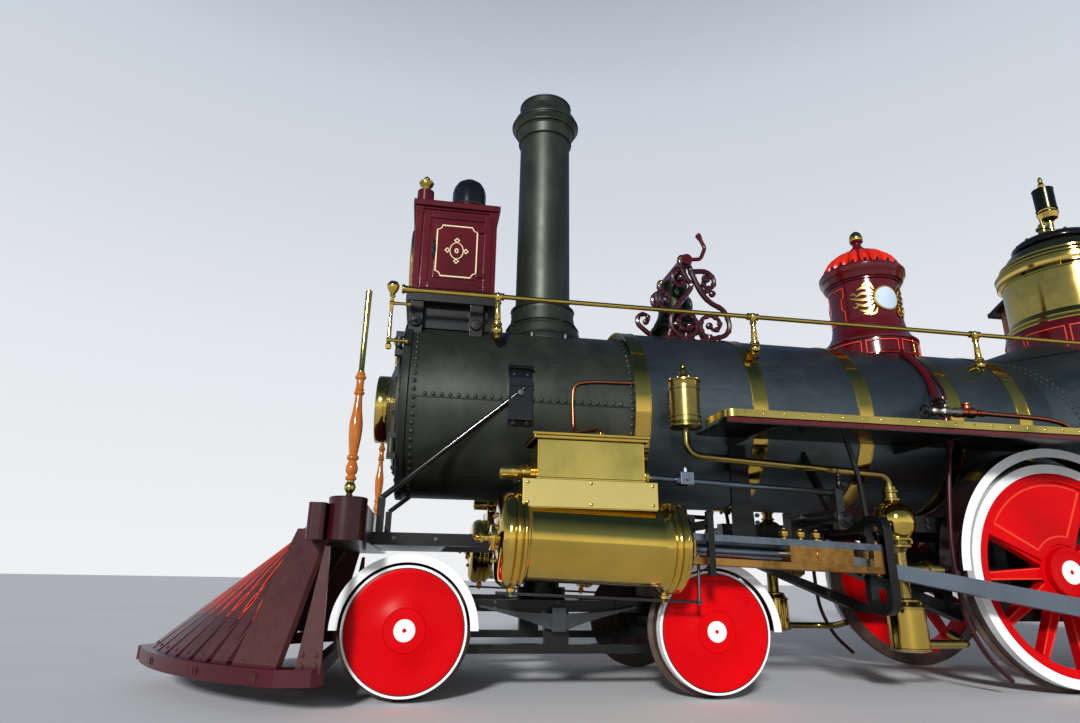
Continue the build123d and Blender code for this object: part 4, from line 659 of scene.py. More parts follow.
def onBarrel(x, angle, radius, axisZ):  # a point on a round body that lies along the engine
    out = Vector((0, -cos(angle), sin(angle)))
    return Vector((x, 0, axisZ)) + out * radius, out


axleX = wheelMid.x
smokeAxis = {"z": railTop + 1.691, "radius": 0.592}
barrelAxis = {"z": railTop + 1.708, "radius": 0.626}


# Truck wheels: red discs, white hub discs and rim line

truckWheel = {"discRadius": 0.311, "hubRadius": 0.112, "capRadius": 0.056, "face": 0.82}


def makeTruckWheels():
    for end, axle in (("front", wheelMid), ("rear", rearWheelMid)):
        body = "truck_" + end + "_wheelset"
        disc, caps, groove = forges(3)
        hub, edge, cap = (truckWheel[key] for key in ("hubRadius", "discRadius", "capRadius"))
        for side in engineSides:
            origin = (axle.x, side * truckWheel["face"], axle.z)
            out = (0, side, 0)
            disc.turned(origin, out, ((-0.022, edge), (0.002, edge), (0.004, edge - 0.004),
                (0.003, 0.285), (-0.001, 0.24), (-0.001, 0.19), (0.006, 0.15), (0.014, hub + 0.006),
                (0.015, hub + 0.001), (0.0125, hub - 0.001), (0.0165, hub - 0.004), (0.0175, 0.07),
                (0.0175, 0)), 64)
            caps.turned(origin, out, ((0.016, cap), (0.0195, cap), (0.021, cap - 0.003), (0.02, 0.02),
                (0.02, 0.012), (0.014, 0.009), (0.014, 0)), 32)
            groove.hoop(origin, out, ((0.001, edge + 0.003), (0.003, edge + 0.003), (0.003, edge - 0.003),
                (0.001, edge - 0.003)), 64)
        settle((disc, end + "TruckDiscs", wheelRed), (caps, end + "TruckHubCaps", whitePaint),
            (groove, end + "TruckRimLines", frameBlack), body=body)


makeTruckWheels()
print("truck wheels finished")


# Cylinders: polished jackets with stepped end rings, cocks and their rod

cylinder = {"slope": 1.8, "reach": 3.675, "y": 1.0, "jacket": ((-28, 55), (-26, 66),  # jacket in mm
    (-6, 74), (-2, 86), (4, 170), (10, 205), (22, 228), (40, 240), (58, 246), (76, 247), (81, 242),
    (84, 236), (88, 242), (94, 246), (112, 246), (117, 238), (122, 232), (127, 238), (132, 241),
    (142, 240), (147, 230), (156, 226), (162, 216), (170, 212), (880, 212), (886, 218), (896, 222),
    (902, 232), (916, 238), (926, 230), (932, 238), (948, 243), (957, 234), (962, 242), (984, 244),
    (990, 236), (996, 240), (1012, 232), (1026, 206), (1036, 160), (1040, 100), (1042, 64), (1070, 60),
    (1073, 33))}
slopeAngle = radians(cylinder["slope"])
slideAxis = Vector((cos(slopeAngle), 0, -sin(slopeAngle)))
slideRise = Vector((sin(slopeAngle), 0, cos(slopeAngle)))


def onSlide(along, side, rise=0.0, shift=0.0):  # along runs rearwards from the cylinder's front
    origin = Vector((driverMid.x, side * (cylinder["y"] + shift), driverMid.z))
    return origin + slideAxis * (along - cylinder["reach"]) + slideRise * rise


def makeCylinders():
    jackets, cocks, steelWork, cockRods = forges(4)
    for side in engineSides:
        jackets.lathe(onSlide(0, side), slideAxis, cylinder["jacket"], 72)
        front = onSlide(-0.028, side)
        cocks.lathe(front, -slideAxis, ((-10, 30), (4, 30), (8, 20), (30, 18), (34, 28), (50, 30),
            (60, 16), (75, 20), (85, 12), (90, 0)), 20)
        for up, across in around(8, 0.5):
            spot = onSlide(0.004, side) + 0.125 * (up * slideRise + Vector((0, across, 0)))
            cocks.nut(spot, -slideAxis, 0.013, 0.012)
        for along in (0.1, 0.93):
            foot = onSlide(along, side, -0.236)
            cocks.lathe(foot, -slideRise, ((-20, 16), (10, 16), (14, 24), (30, 24), (35, 12), (55, 10),
                (58, 0)), 14)
        cockRods.tube([onSlide(0.02, side, -0.275), onSlide(1.13, side, -0.275)], 0.008, 8)
        cockRods.tube([onSlide(1.13, side, -0.29), onSlide(1.13, side, -0.02)], 0.009, 8)
        for along in (0.1, 0.93, 1.13):
            cockRods.nut(onSlide(along, side, -0.275, side * 0.01), (0, side, 0), 0.016, 0.016)
        for up, across in around(6):
            spot = onSlide(1.046, side) + 0.105 * (up * slideRise + Vector((0, across, 0)))
            steelWork.nut(spot, slideAxis, 0.014, 0.02)
        steelWork.lathe(onSlide(1.073, side), slideAxis, ((-10, 62), (6, 62), (8, 50), (26, 48),
            (30, 34)), 24)
    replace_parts(jackets.done("cylinderJackets", "engine", brass), "cylinders")
    settle((cocks, "cylinderCocks", goldRing), (steelWork, "cylinderGlands", steel),
        (cockRods, "cylinderCockRods", darkSteel))


makeCylinders()


# Steam chests: lid moulding, plate with corner screws, valve spindle guide, oil pipe

chest = {"frontX": axleX + 0.646, "rearX": axleX + 1.228, "outer": 1.125, "inner": 0.835,
    "lowZ": railTop + 1.1, "topZ": railTop + 1.32, "plateFrontX": axleX + 0.563,
    "plateRearX": axleX + 1.29, "plateLowZ": railTop + 0.952, "plateTopZ": railTop + 1.104,
    "plateY": 1.153, "spindleZ": railTop + 1.16, "spindleY": 0.95}


def makeChests():
    front, rear, outer, low = (chest[key] for key in ("frontX", "rearX", "outer", "lowZ"))
    plateFront, plateRear, plateY, plateLow, plateTop = (chest[key]
        for key in ("plateFrontX", "plateRearX", "plateY", "plateLowZ", "plateTopZ"))
    mould, panel, screws, guides, pipes = forges(5)
    x0, x1 = front - 0.03, rear + 0.03
    y0, y1 = -outer - 0.026, -chest["inner"] + 0.02
    top = chest["topZ"]
    for rise, grow in ((0.0, 0.0), (0.018, 0.006)):
        mould.box((x0 - grow, y0 - grow, top + rise), (x1 + grow, y1, top + rise + 0.018))
    for x in (front, rear):
        mould.box((x - 0.006, -outer - 0.006, low), (x + 0.006, -outer + 0.006, top))
    mould.box((x0 + 0.02, -outer - 0.008, low), (x1 - 0.02, -outer + 0.008, low + 0.016))
    panel.box((plateFront - 0.004, -plateY - 0.008, plateLow + 0.004),
        (plateRear + 0.004, -plateY + 0.004, plateTop - 0.002))
    corners = [(x, z) for x in (plateFront + 0.024, plateRear - 0.024)
        for z in (plateLow + 0.026, plateTop - 0.024)]
    middle = (plateFront + plateRear) / 2
    corners += [(middle, plateLow + 0.022), (middle, plateTop - 0.02)]
    for x, z in corners:
        screws.stud((x, -plateY - 0.008, z), leftward, 0.0095, 0.004, 12)
    spindle = Vector((front + 0.004, -chest["spindleY"], chest["spindleZ"]))
    guides.lathe(spindle, forward, ((-10, 60), (6, 60), (10, 54), (16, 58), (24, 58), (28, 50), (62, 48),
        (68, 54), (78, 54), (84, 43), (176, 41), (188, 34), (194, 20), (196, 0)), 28)
    guides.lathe((rear, -chest["spindleY"], chest["spindleZ"]), rearward, ((-10, 62), (12, 62), (18, 50),
        (52, 48), (58, 52), (74, 50), (78, 20)), 28)
    for x in (front + 0.12, rear - 0.12):
        guides.nut((x, -0.97, top + 0.036), upward, 0.018, 0.016)
    cup = (axleX + 1.04, -0.93, top + 0.034)
    guides.lathe(cup, upward, ((0, 20), (10, 20), (14, 12), (30, 12), (36, 22), (50, 26), (66, 18),
        (75, 8), (80, 0)), 18)
    reach = smokeAxis["radius"] + 0.012
    start = Vector((-2.262, -0.93, top + 0.06))
    pipes.tube(rounded([start, (-2.262, -0.9, top + 0.115), (-2.355, -0.63, railTop + 1.46),
        onBarrel(-2.357, 0.0, reach, smokeAxis["z"])[0], onBarrel(-2.345, 0.165, reach,
        smokeAxis["z"])[0], onBarrel(-2.22, 0.205, reach, smokeAxis["z"])[0],
        onBarrel(-1.95, 0.215, reach, smokeAxis["z"])[0]], 0.06), 0.0105, 10)
    settle((mould, "chestMouldings", brass, 0.005), (panel, "blankPlates", goldPlate, 0.003),
        (screws, "plateScrews", oldBrass), (guides, "valveSpindleGuides", goldRing),
        (pipes, "oilPipes", copper), twice=True)


makeChests()
print("cylinders finished")


# Smokebox: rivet rows, front ring, bolted brace brackets, the stack's collar

smoke = {"boltCircle": 0.565, "bolts": 28, "frontX": axleX - 0.134, "rearX": axleX + 1.38,
    "rivet": 0.0145, "pitch": 0.052, "seamAngle": -0.03, "bracketX": (-2.765, -2.612),
    "bracketAngles": (-0.32, 0.3)}


def rivetRing(forge, x, radius, axisZ, start, end, pitch, size):
    count = int(abs(end - start) * radius / pitch)
    for step in range(count + 1):
        at, out = onBarrel(x, start + (end - start) * step / count, radius, axisZ)
        forge.stud(at, out, size, size * 0.75)


def makeSmokebox():
    rivets, straps, plates, bolts, rim = forges(5)
    axisZ, radius = smokeAxis["z"], smokeAxis["radius"]
    front, rear, pitch, size = (smoke[key] for key in ("frontX", "rearX", "pitch", "rivet"))
    rivetRing(rivets, rear - 0.04, radius, axisZ, -1.15, pi + 1.15, pitch, size)
    rivetRing(rivets, front + 0.085, radius, axisZ, -1.5, pi + 1.5, pitch, size)
    for angle in (smoke["seamAngle"], pi - smoke["seamAngle"]):
        steps = int((rear - front - 0.15) / pitch)
        for step in range(1, steps):
            x = front + 0.1 + step * pitch
            at, out = onBarrel(x, angle, radius, axisZ)
            rivets.stud(at, out, size, size * 0.75)
        # a black line along each lap seam beside its rivet row: painted shadow of the plate's edge
        seam = [onBarrel(x, angle - 0.032, radius, axisZ)[0] for x in (front + 0.06, rear - 0.004)]
        straps.ribbon(seam, onBarrel(0, angle, 1, 0)[1], 0.009, 0.003)
    for step in range(smoke["bolts"]):
        at, out = onBarrel(front, tau * step / smoke["bolts"], smoke["boltCircle"], axisZ)
        rivets.stud(at, forward, 0.014, 0.012)
    rim.collar((front, 0, axisZ), forward, ((-50, 600), (-44, 608), (-4, 608), (4, 600), (6, 540),
        (-10, 530)), 96)
    x0, x1 = smoke["bracketX"]
    low, high = smoke["bracketAngles"]
    for lift, inset, share in ((0.01, 0.0, 1.0), (0.024, 0.018, 0.3)):
        rings = []
        for step in range(9):
            angle = low + (high - low) * (1 - share + share * step / 8)
            base, out = onBarrel(0, angle, radius - 0.004, axisZ)
            rings.append([plates.mesh.verts.new(Vector((x, base.y, base.z)) + out * rise)
                for x, rise in ((x0 + inset, 0), (x1 - inset, 0), (x1 - inset, lift + 0.004),
                (x0 + inset, lift + 0.004))])
        plates.bridge(rings)
    lip, out = onBarrel(0, high, radius, axisZ)
    plates.beam(Vector((x0 - 0.004, lip.y, lip.z)) + out * 0.02,
        Vector((x1 + 0.004, lip.y, lip.z)) + out * 0.02, 0.05, 0.022, out)
    middle, out = onBarrel(0, low + (high - low) * 0.66, radius, axisZ)
    plates.beam(Vector((x0, middle.y, middle.z)) + out * 0.02,
        Vector((x1, middle.y, middle.z)) + out * 0.02, 0.034, 0.012, out)
    for x in (x0 + 0.034, x1 - 0.034):
        for angle in (low + 0.035, low + 0.085, high - 0.135, high - 0.075):
            at, out = onBarrel(x, angle, radius + 0.01, axisZ)
            bolts.nut(at, out, 0.0145, 0.013)
    at, out = onBarrel((x0 + x1) / 2, 0.02, radius + 0.01, axisZ)
    bolts.lathe(at, out, ((0, 34), (12, 34), (20, 26), (34, 20), (36, 0)), 20)
    for forge in (plates, bolts):
        forge.mirrored()
    # the black seam lines are painted shadow of the plate edges
    settle((rivets, "smokeboxRivets", graphite), (straps, "smokeboxSeams", frameBlack),
        (plates, "braceBrackets", glossBlack, 0.004), (bolts, "braceBolts", darkSteel),
        (rim, "smokeboxFrontRing", graphite))


def makeStackCollar():
    collar, bolts = forges(2)
    origin = Vector((stackMid.x, 0, railTop))
    for z, radius, half in ((2.236, 0.292, 0.018), (2.338, 0.262, 0.012), (2.366, 0.246, 0.008),
            (2.492, 0.23, 0.012)):
        collar.hoop(origin, upward, ((z - half, radius - 0.012), (z - half * 0.6, radius + 0.006),
            (z, radius + 0.01), (z + half * 0.6, radius + 0.006), (z + half, radius - 0.012)), 64)
    for run, across in around(8, 0.5):
        out = Vector((run, across, 0))
        collar.beam(origin + out * 0.286 + Vector((0, 0, 2.24)),
            origin + out * 0.25 + Vector((0, 0, 2.36)), 0.016, 0.022, out)
    for step, (run, across) in enumerate(around(16)):
        out = Vector((run, across, 0))
        bolts.stud(origin + out * 0.229 + Vector((0, 0, 2.446)), out, 0.011, 0.008)
        if step % 2:
            bolts.nut(origin + out * 0.31 + Vector((0, 0, 2.18)), upward, 0.014, 0.05)
    for z, radius in ((3.962, 0.21), (4.062, 0.236), (4.112, 0.266), (4.296, 0.206)):
        collar.bead(lifted(origin, z), upward, radius, 0.008, 0.005, 0.008, 0.004, 64)
    settle((collar, "stackCollar", graphite), (bolts, "stackBolts", graphite))


makeSmokebox()
makeStackCollar()


# Smokebox door: brass disc with a deep rim, maroon centre, dogs round the edge

doorDisc = {"dogCircle": 0.425, "dogs": 12, "x": axleX - 0.136, "radius": 0.232, "stand": 0.15}


def makeDoor():
    disc, dark, dogs = forges(3)
    origin = (doorDisc["x"] - doorDisc["stand"], 0, smokeAxis["z"])
    radius = doorDisc["radius"]
    disc.hoop(origin, forward, ((-0.062, radius - 0.012), (-0.062, radius - 0.002), (-0.052, radius),
        (0.006, radius), (0.016, radius - 0.006), (0.018, radius - 0.018), (0.012, radius - 0.026),
        (0.006, radius - 0.034), (0.01, radius - 0.044), (0.008, radius - 0.052), (0, radius - 0.056)),
        96)
    disc.lathe(origin, forward, ((-20, 62), (10, 60), (16, 50), (17, 20), (20, 0)), 40)
    dark.lathe(origin, forward, ((-100, 200), (-2, 190), (4, 176), (3, 70), (3, 0)), 64)
    circle = doorDisc["dogCircle"]
    for across, up in around(doorDisc["dogs"], 0.5):
        dogs.nut((doorDisc["x"] - 0.022, circle * across, smokeAxis["z"] + circle * up), forward, 0.017,
            0.014)
    settle((disc, "doorDisc", brass), (dark, "doorDiscCentre", maroon), (dogs, "doorDogs", darkSteel),
        body="smokebox_door")


makeDoor()
print("smokebox finished")


# Pilot: flutes between the boards, dark as painted shade, with their orange twist, bolts, beam drums,
# flagstaffs

pilot = {"nose": Vector((axleX - 1.53, -0.05, 0)), "turn": Vector((axleX - 0.566, -1.17, 0)), "bow": 0.13,
    "footZ": railTop + 0.1475, "crestX": axleX - 0.691, "headReach": 0.225, "headHalf": 1.04,
    "headZ": 0.853, "plankX": axleX - 0.496, "skin": 0.017, "footGap": 0.042, "headGap": 0.026,
    "boards": 9, "flutes": 7, "low": 0.075, "high": 0.945}
twist = ((0.935, 0.011), (0.8, 0.0105), (0.66, 0.0105), (0.58, 0.011), (0.54, 0.007), (0.515, 0),
    (0.49, -0.008), (0.455, -0.014), (0.42, -0.012), (0.385, -0.005), (0.36, 0), (0.325, 0))


def pilotFoot(share, height=0.0):  # along the foot rail, whose sides bow outwards
    chord = pilot["turn"] - pilot["nose"]
    out = Vector((chord.y, -chord.x, 0)).normalized()
    at = pilot["nose"] + chord * share + out * 4 * pilot["bow"] * share * (1 - share)
    return Vector((at.x, at.y, height)), out


def pilotLine(share):  # foot and head of a board's middle, its direction along the rail and its face
    foot = pilotFoot(share, pilot["footZ"])[0] + Vector((0.03, 0.02, 0))
    head = Vector((pilot["crestX"] + share * pilot["headReach"], -share * pilot["headHalf"],
        pilot["headZ"]))
    along = (pilotFoot(share + 0.01)[0] - pilotFoot(share - 0.01)[0]).normalized()
    out = along.cross(head - foot).normalized()
    return foot, head, along, out if out.y < 0 else -out


def makePilot():
    flutes, lines, bolts = forges(3)
    skin, boards, plank = pilot["skin"], pilot["boards"], pilot["plankX"]
    # each flute is a dark maroon strip sunk in the groove between two boards: painted shade of the groove
    for number in range(1, pilot["flutes"] + 1):
        foot, head, along, out = pilotLine(number / boards)
        rings = []
        for share in (pilot["low"], 0.5, pilot["high"]):
            half = pilot["footGap"] + (pilot["headGap"] - pilot["footGap"]) * share + 0.006
            base = foot.lerp(head, share) + out * (skin - 0.006)
            rings.append([flutes.mesh.verts.new(base + along * half * reach - out * depth)
                for reach, depth in ((-1, 0), (0, 0.012), (1, 0), (1, 0.008), (0, 0.02), (-1, 0.008))])
        flutes.bridge(rings)
        for turn in (-1, 1):
            line = [foot.lerp(head, share) + along * (offset * turn)
                + out * (skin + 0.003 + 0.014 * number / boards) for share, offset in twist]
            lines.ribbon(smoothed(line, 4), out, 0.0075, 0.0015)
    for middle, half in [(number + 0.5, 0.36) for number in range(7)] + [(8, 0.86)]:
        foot, head, along, out = pilotLine(middle / boards)
        pitch = (pilot["turn"] - pilot["nose"]).length / boards
        for edge in ((-0.5, 0.5) if half > 0.5 else (0,)):
            bolts.stud(foot.lerp(head, 0.075) + along * edge * pitch + out * skin, out, 0.01, 0.006)
    for x in (axleX - 0.457, axleX - 0.395):
        for z in (0.228, 0.275):
            bolts.nut((x, -1.146, z), leftward, 0.013, 0.01)
    for share in (0.3, 0.65, 0.925):
        at, out = pilotFoot(share, pilot["footZ"])
        side = Vector((-out.y, out.x, 0))
        for shift in (-0.014, 0.014):
            bolts.beam(at + side * shift - Vector((0, 0, 0.016)),
                at + side * shift + Vector((0, 0, 0.016)), 0.01, 0.012, side)
    # the flutes' dark maroon is painted shade between the boards
    settle((flutes, "pilotFlutes", darkMaroon), (lines, "pilotLines", orangeLine),
        (bolts, "pilotBolts", pilotMaroon), twice=True)
    caps, hooks = forges(2)
    drum = Vector((axleX - 0.318, -1.105, railTop + 0.968))
    caps.lathe(drum, upward, ((-8, 95.5), (2, 95.5), (6, 92), (8, 86), (9, 0)), 48)
    for y in (-0.95, -0.55, -0.18):
        for z in (0.835, 0.925):
            hooks.nut((plank, y, z), forward, 0.017, 0.012)
    for forge in (caps, hooks):
        forge.mirrored()
    hooks.tube(rounded([(plank, -0.1, 0.88), (plank - 0.13, -0.07, 0.88), (plank - 0.13, 0.07, 0.88),
        (plank, 0.1, 0.88)], 0.05), 0.017, 10)
    settle((caps, "beamDrumCaps", darkMaroon), (hooks, "beamBolts", darkSteel))


staff = {"x": axleX - 0.318, "y": -1.105,  # profiles in mm
    "wood": ((1088, 20), (1094, 27.5), (1104, 28.5), (1112, 20),
    (1118, 19), (1128, 27), (1142, 31), (1160, 29), (1180, 22), (1190, 19), (1197, 29), (1205, 31),
    (1213, 28), (1220, 21), (1250, 25), (1300, 31), (1350, 34.5), (1385, 34), (1420, 29), (1460, 23),
    (1510, 19), (1536, 18), (1542, 26), (1552, 28), (1558, 20), (1566, 24), (1576, 19), (1620, 20),
    (1628, 28), (1638, 29), (1646, 21), (1656, 23), (1662, 16)), "brass": ((994, 30), (1002, 31),
    (1010, 20), (1022, 13.5), (1030, 18), (1042, 26.5), (1056, 29), (1070, 25), (1080, 18), (1090, 19),
    (1092, 10)), "tube": ((1655, 13), (1662, 18), (1668, 18), (1674, 14.5), (1880, 15.5), (2120, 17.5),
    (2132, 17.5), (2136, 14), (2137, 0))}


def makeFlagstaffs():
    wood, metal = forges(2)
    at = (staff["x"], staff["y"], 0)
    wood.lathe(at, upward, staff["wood"], 32)
    metal.lathe(at, upward, staff["brass"], 32)
    metal.lathe(at, upward, staff["tube"], 24)
    wood.mirrored()
    metal.mirrored()
    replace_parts(wood.done("staffs", "engine", staffWood), "flagstaffs")
    metal.done("staffBrass", "engine", greenBrass)


makePilot()
makeFlagstaffs()
print("pilot finished")


# Headlight: mouldings, vent and finials, lined door, bezel and reflector, shelf legs

lamp = {"frontX": axleX - 0.12, "rearX": axleX + 0.436, "half": 0.33, "lowZ": railTop + 2.43,
    "topZ": railTop + 3.11, "glassZ": railTop + 2.77, "doorFrontX": axleX - 0.072,
    "doorRearX": axleX + 0.408, "doorLowZ": railTop + 2.478, "doorHighZ": railTop + 3.062,
    "doorY": -0.344, "ventX": axleX + 0.252}


def makeHeadlight():
    front, rear, half, lowZ, topZ, ventX = (lamp[key] for key in ("frontX", "rearX", "half", "lowZ",
        "topZ", "ventX"))
    trim, vent, legs, bezel, bowl = forges(5)
    for x in (front + 0.018, rear - 0.012):
        for side in engineSides:
            y = side * (half - 0.004)
            trim.box((x - 0.026, y - 0.016, lowZ + 0.05), (x + 0.022, y + 0.016, topZ - 0.03))
            trim.box((x - 0.032, y - 0.02, topZ - 0.055), (x + 0.028, y + 0.02, topZ))
    for low, high, grow in ((0.0, 0.028, 0.04), (0.028, 0.046, 0.024), (0.046, 0.058, 0.012)):
        trim.box((front - grow + 0.012, -half - grow, lowZ + low),
            (rear + grow, half + grow, lowZ + high))
    for low, high, grow in ((-0.02, 0.001, 0.012), (0.028, 0.044, 0.03)):
        trim.box((front - grow, -half - grow, topZ + low), (rear + grow, half + grow, topZ + high))
    ventLow = topZ + 0.03
    vent.lathe((ventX, 0, ventLow), upward, ((150, 100), (150, 148), (160, 150), (166, 140), (172, 128),
        (200, 128), (292, 128.5), (335, 118), (372, 97), (398, 62), (412, 30), (415, 0)), 48)
    for run, across in around(16):
        out = Vector((run, across, 0))
        vent.stud(Vector((ventX, 0, ventLow + 0.2)) + out * 0.128, out, 0.006, 0.004)
    for x in (front + 0.045, rear - 0.11):
        for y in (-0.36, 0.36):
            legs.box((x - 0.045, y - 0.03, railTop + 2.105), (x + 0.045, y + 0.03, railTop + 2.365))
            legs.lathe((x, y - copysign(0.02, -y), railTop + 2.215), (0, copysign(1, y), 0),
                ((-20, 40), (20, 40), (26, 34), (28, 0)), 20)
    centre = (front, 0, lamp["glassZ"])
    bezel.collar(centre, forward, ((-6, 272), (12, 288), (24, 284), (30, 270), (26, 258), (20, 252),
        (14, 250)), 64)
    bowl.collar(centre, rearward, ((-4, 246), (20, 238), (80, 205), (140, 155), (185, 90), (200, 30),
        (204, 30), (190, 94), (145, 160), (85, 210), (20, 244)), 48)
    bowl.lathe((front + 0.19, 0, lamp["glassZ"]), forward, ((0, 20), (50, 18), (60, 30), (110, 30),
        (130, 12), (135, 0)), 20)
    settle((trim, "headlightMouldings", maroon, 0.004), (vent, "headlightVent", glossBlack),
        (legs, "headlightLegs", frameBlack, 0.004), (bezel, "headlightBezel", brass),
        (bowl, "headlightBowl", silver))
    finials = Forge()
    for side in engineSides:
        finials.lathe((front + 0.045, side * 0.22, ventLow), upward, ((140, 30), (152, 44), (158, 28),
            (168, 22), (180, 30), (196, 40), (212, 46), (224, 42), (231, 30), (238, 20), (246, 18),
            (254, 24), (264, 22), (274, 12), (280, 0)), 32)
        for run, across in around(8):
            out = Vector((run, across, 0.25))
            finials.stud(Vector((front + 0.045, side * 0.22, ventLow + 0.212)) + out * 0.043, out, 0.01,
                0.012)
    finials.done("headlightFinials", "engine", goldRing)


def notched(x0, x1, z0, z1, notch, steps=5):  # a panel outline whose corners are hollowed
    line = []
    for cx, cz, start in ((x0, z0, 0), (x0, z1, 270), (x1, z1, 180), (x1, z0, 90)):
        for step in range(steps + 1):
            angle = radians(start + 90 * step / steps)
            line.append((cx + notch * cos(angle), cz + notch * sin(angle)))
    return line


def makeHeadlightDoor():
    surround, line, latch, hinges = forges(4)
    y = lamp["doorY"]
    x0, x1 = lamp["doorFrontX"], lamp["doorRearX"]
    z0, z1 = lamp["doorLowZ"], lamp["doorHighZ"]
    for low, high in (((x0 + 0.05, z0), (x1 - 0.05, z0 + 0.045)),
            ((x0 + 0.05, z1 - 0.045), (x1 - 0.05, z1)), ((x0, z0), (x0 + 0.05, z1)),
            ((x1 - 0.05, z0), (x1, z1))):
        surround.box((low[0], y - 0.01, low[1]), (high[0], y + 0.002, high[1]))
    surround.box((x0 + 0.085, y - 0.006, z0 + 0.082), (x1 - 0.085, y + 0.002, z1 - 0.082))
    faceY = y - 0.0062
    outline = notched(x0 + 0.1, x1 - 0.1, z0 + 0.098, z1 - 0.098, 0.034)
    line.border([(x, faceY, z) for x, z in outline], leftward, 0.007, 0.0012)
    midX, midZ = (x0 + x1) / 2, (z0 + z1) / 2 + 0.004

    def oval(shiftX, shiftZ, wide, high, steps, thick):
        spots = [(midX + shiftX + wide * run, faceY, midZ + shiftZ + high * up)
            for run, up in around(steps)]
        line.border(spots, leftward, thick, 0.0012)

    oval(0, 0, 0.046, 0.062, 32, 0.006)
    for shiftX, shiftZ in ((0, 0.08), (0, -0.08), (0.064, 0), (-0.064, 0)):
        oval(shiftX, shiftZ, 0.016, 0.016, 4, 0.007)
    oval(0, 0, 0.01, 0.015, 10, 0.008)
    latchX = x0 + 0.082
    latch.tube(rounded([(latchX, y - 0.004, midZ - 0.075), (latchX, y - 0.02, midZ - 0.045),
        (latchX, y - 0.02, midZ + 0.045), (latchX, y - 0.004, midZ + 0.075)], 0.02), 0.006, 8)
    latch.box((latchX - 0.014, y - 0.012, midZ - 0.035), (latchX + 0.014, y, midZ + 0.035))
    latch.lathe((latchX, y - 0.02, midZ), leftward, ((-12, 12), (4, 12), (12, 6), (14, 0)), 12)
    for z in (z0 + 0.12, z1 - 0.12):
        hinges.box((x1 - 0.1, y - 0.014, z - 0.014), (x1 - 0.024, y, z + 0.014))
        hinges.lathe((x1, y + 0.004, z - 0.035), upward, ((0, 10.5), (70, 10.5)), 14)
    settle((surround, "headlightDoorFrame", maroon, 0.004), (line, "headlightDoorLines", creamLine),
        (latch, "headlightLatch", frameBlack), (hinges, "headlightHinges", maroon, 0.002),
        body="headlight_door")


makeHeadlight()
makeHeadlightDoor()
print("headlight finished")


# Handrail trim: turned knobs, ball-topped grab posts at the smokebox front

rail = {"z": railTop + 2.365, "y": -0.56, "posts": (-2.848, -1.06, 0.69), "grabX": axleX - 0.228,
    "grabY": -0.548, "grabLowZ": 2.01, "grabTopZ": 2.405}


def makeHandrails():
    knobs, grab = forges(2)
    y, z = rail["y"], rail["z"]
    for x in rail["posts"]:
        top = Vector((x, y, z))
        knobs.lathe(top - Vector((0, 0, 0.06)), upward, ((-130, 21.5), (-115, 24), (-108, 18),
            (-96, 21.5), (-20, 17.5), (2, 16.5), (10, 23), (20, 23), (28, 18), (45, 26), (60, 28.5),
            (75, 26), (84, 16), (88, 0)), 20)
        for shift in (-0.034, 0.034):
            knobs.collar(top + Vector((shift - 0.006, 0, 0)), rearward,
                ((0, 22.5), (3, 26), (9, 26), (12, 22.5)), 20)
        foot = Vector((x, y, z - 0.235))
        knobs.lathe(foot, downward, ((-52, 26), (-46, 32), (-36, 32), (-28, 24), (-16, 34), (4, 37),
            (22, 32), (34, 18), (44, 20), (54, 14), (58, 0)), 20)
    at = Vector((rail["grabX"], rail["grabY"], 0))
    low, top = rail["grabLowZ"], rail["grabTopZ"]
    grab.turned(at, upward, ((low - 0.03, 0), (low - 0.024, 0.016), (low, 0.02), (low + 0.014, 0.012),
        (low + 0.06, 0.013), (low + 0.2, 0.011), (top - 0.075, 0.012), (top - 0.06, 0.02),
        (top - 0.048, 0.014), (top - 0.038, 0.022), (top - 0.012, 0.037), (top + 0.012, 0.04),
        (top + 0.034, 0.028), (top + 0.044, 0)), 22)
    for rise in (low + 0.035, top - 0.11):
        grab.lathe(lifted(at, rise), rearward, ((-16, 0), (-14, 14), (0, 18), (14, 12), (50, 10),
            (100, 10), (102, 18), (118, 18)), 14)
    knobs.mirrored()
    grab.mirrored()
    settle((knobs, "handrailKnobs", brass), (grab, "frontGrabPosts", brass))


makeHandrails()


# Bell: cast scrollwork stand, brass balls, mouldings on the cup, cord eye on the arm

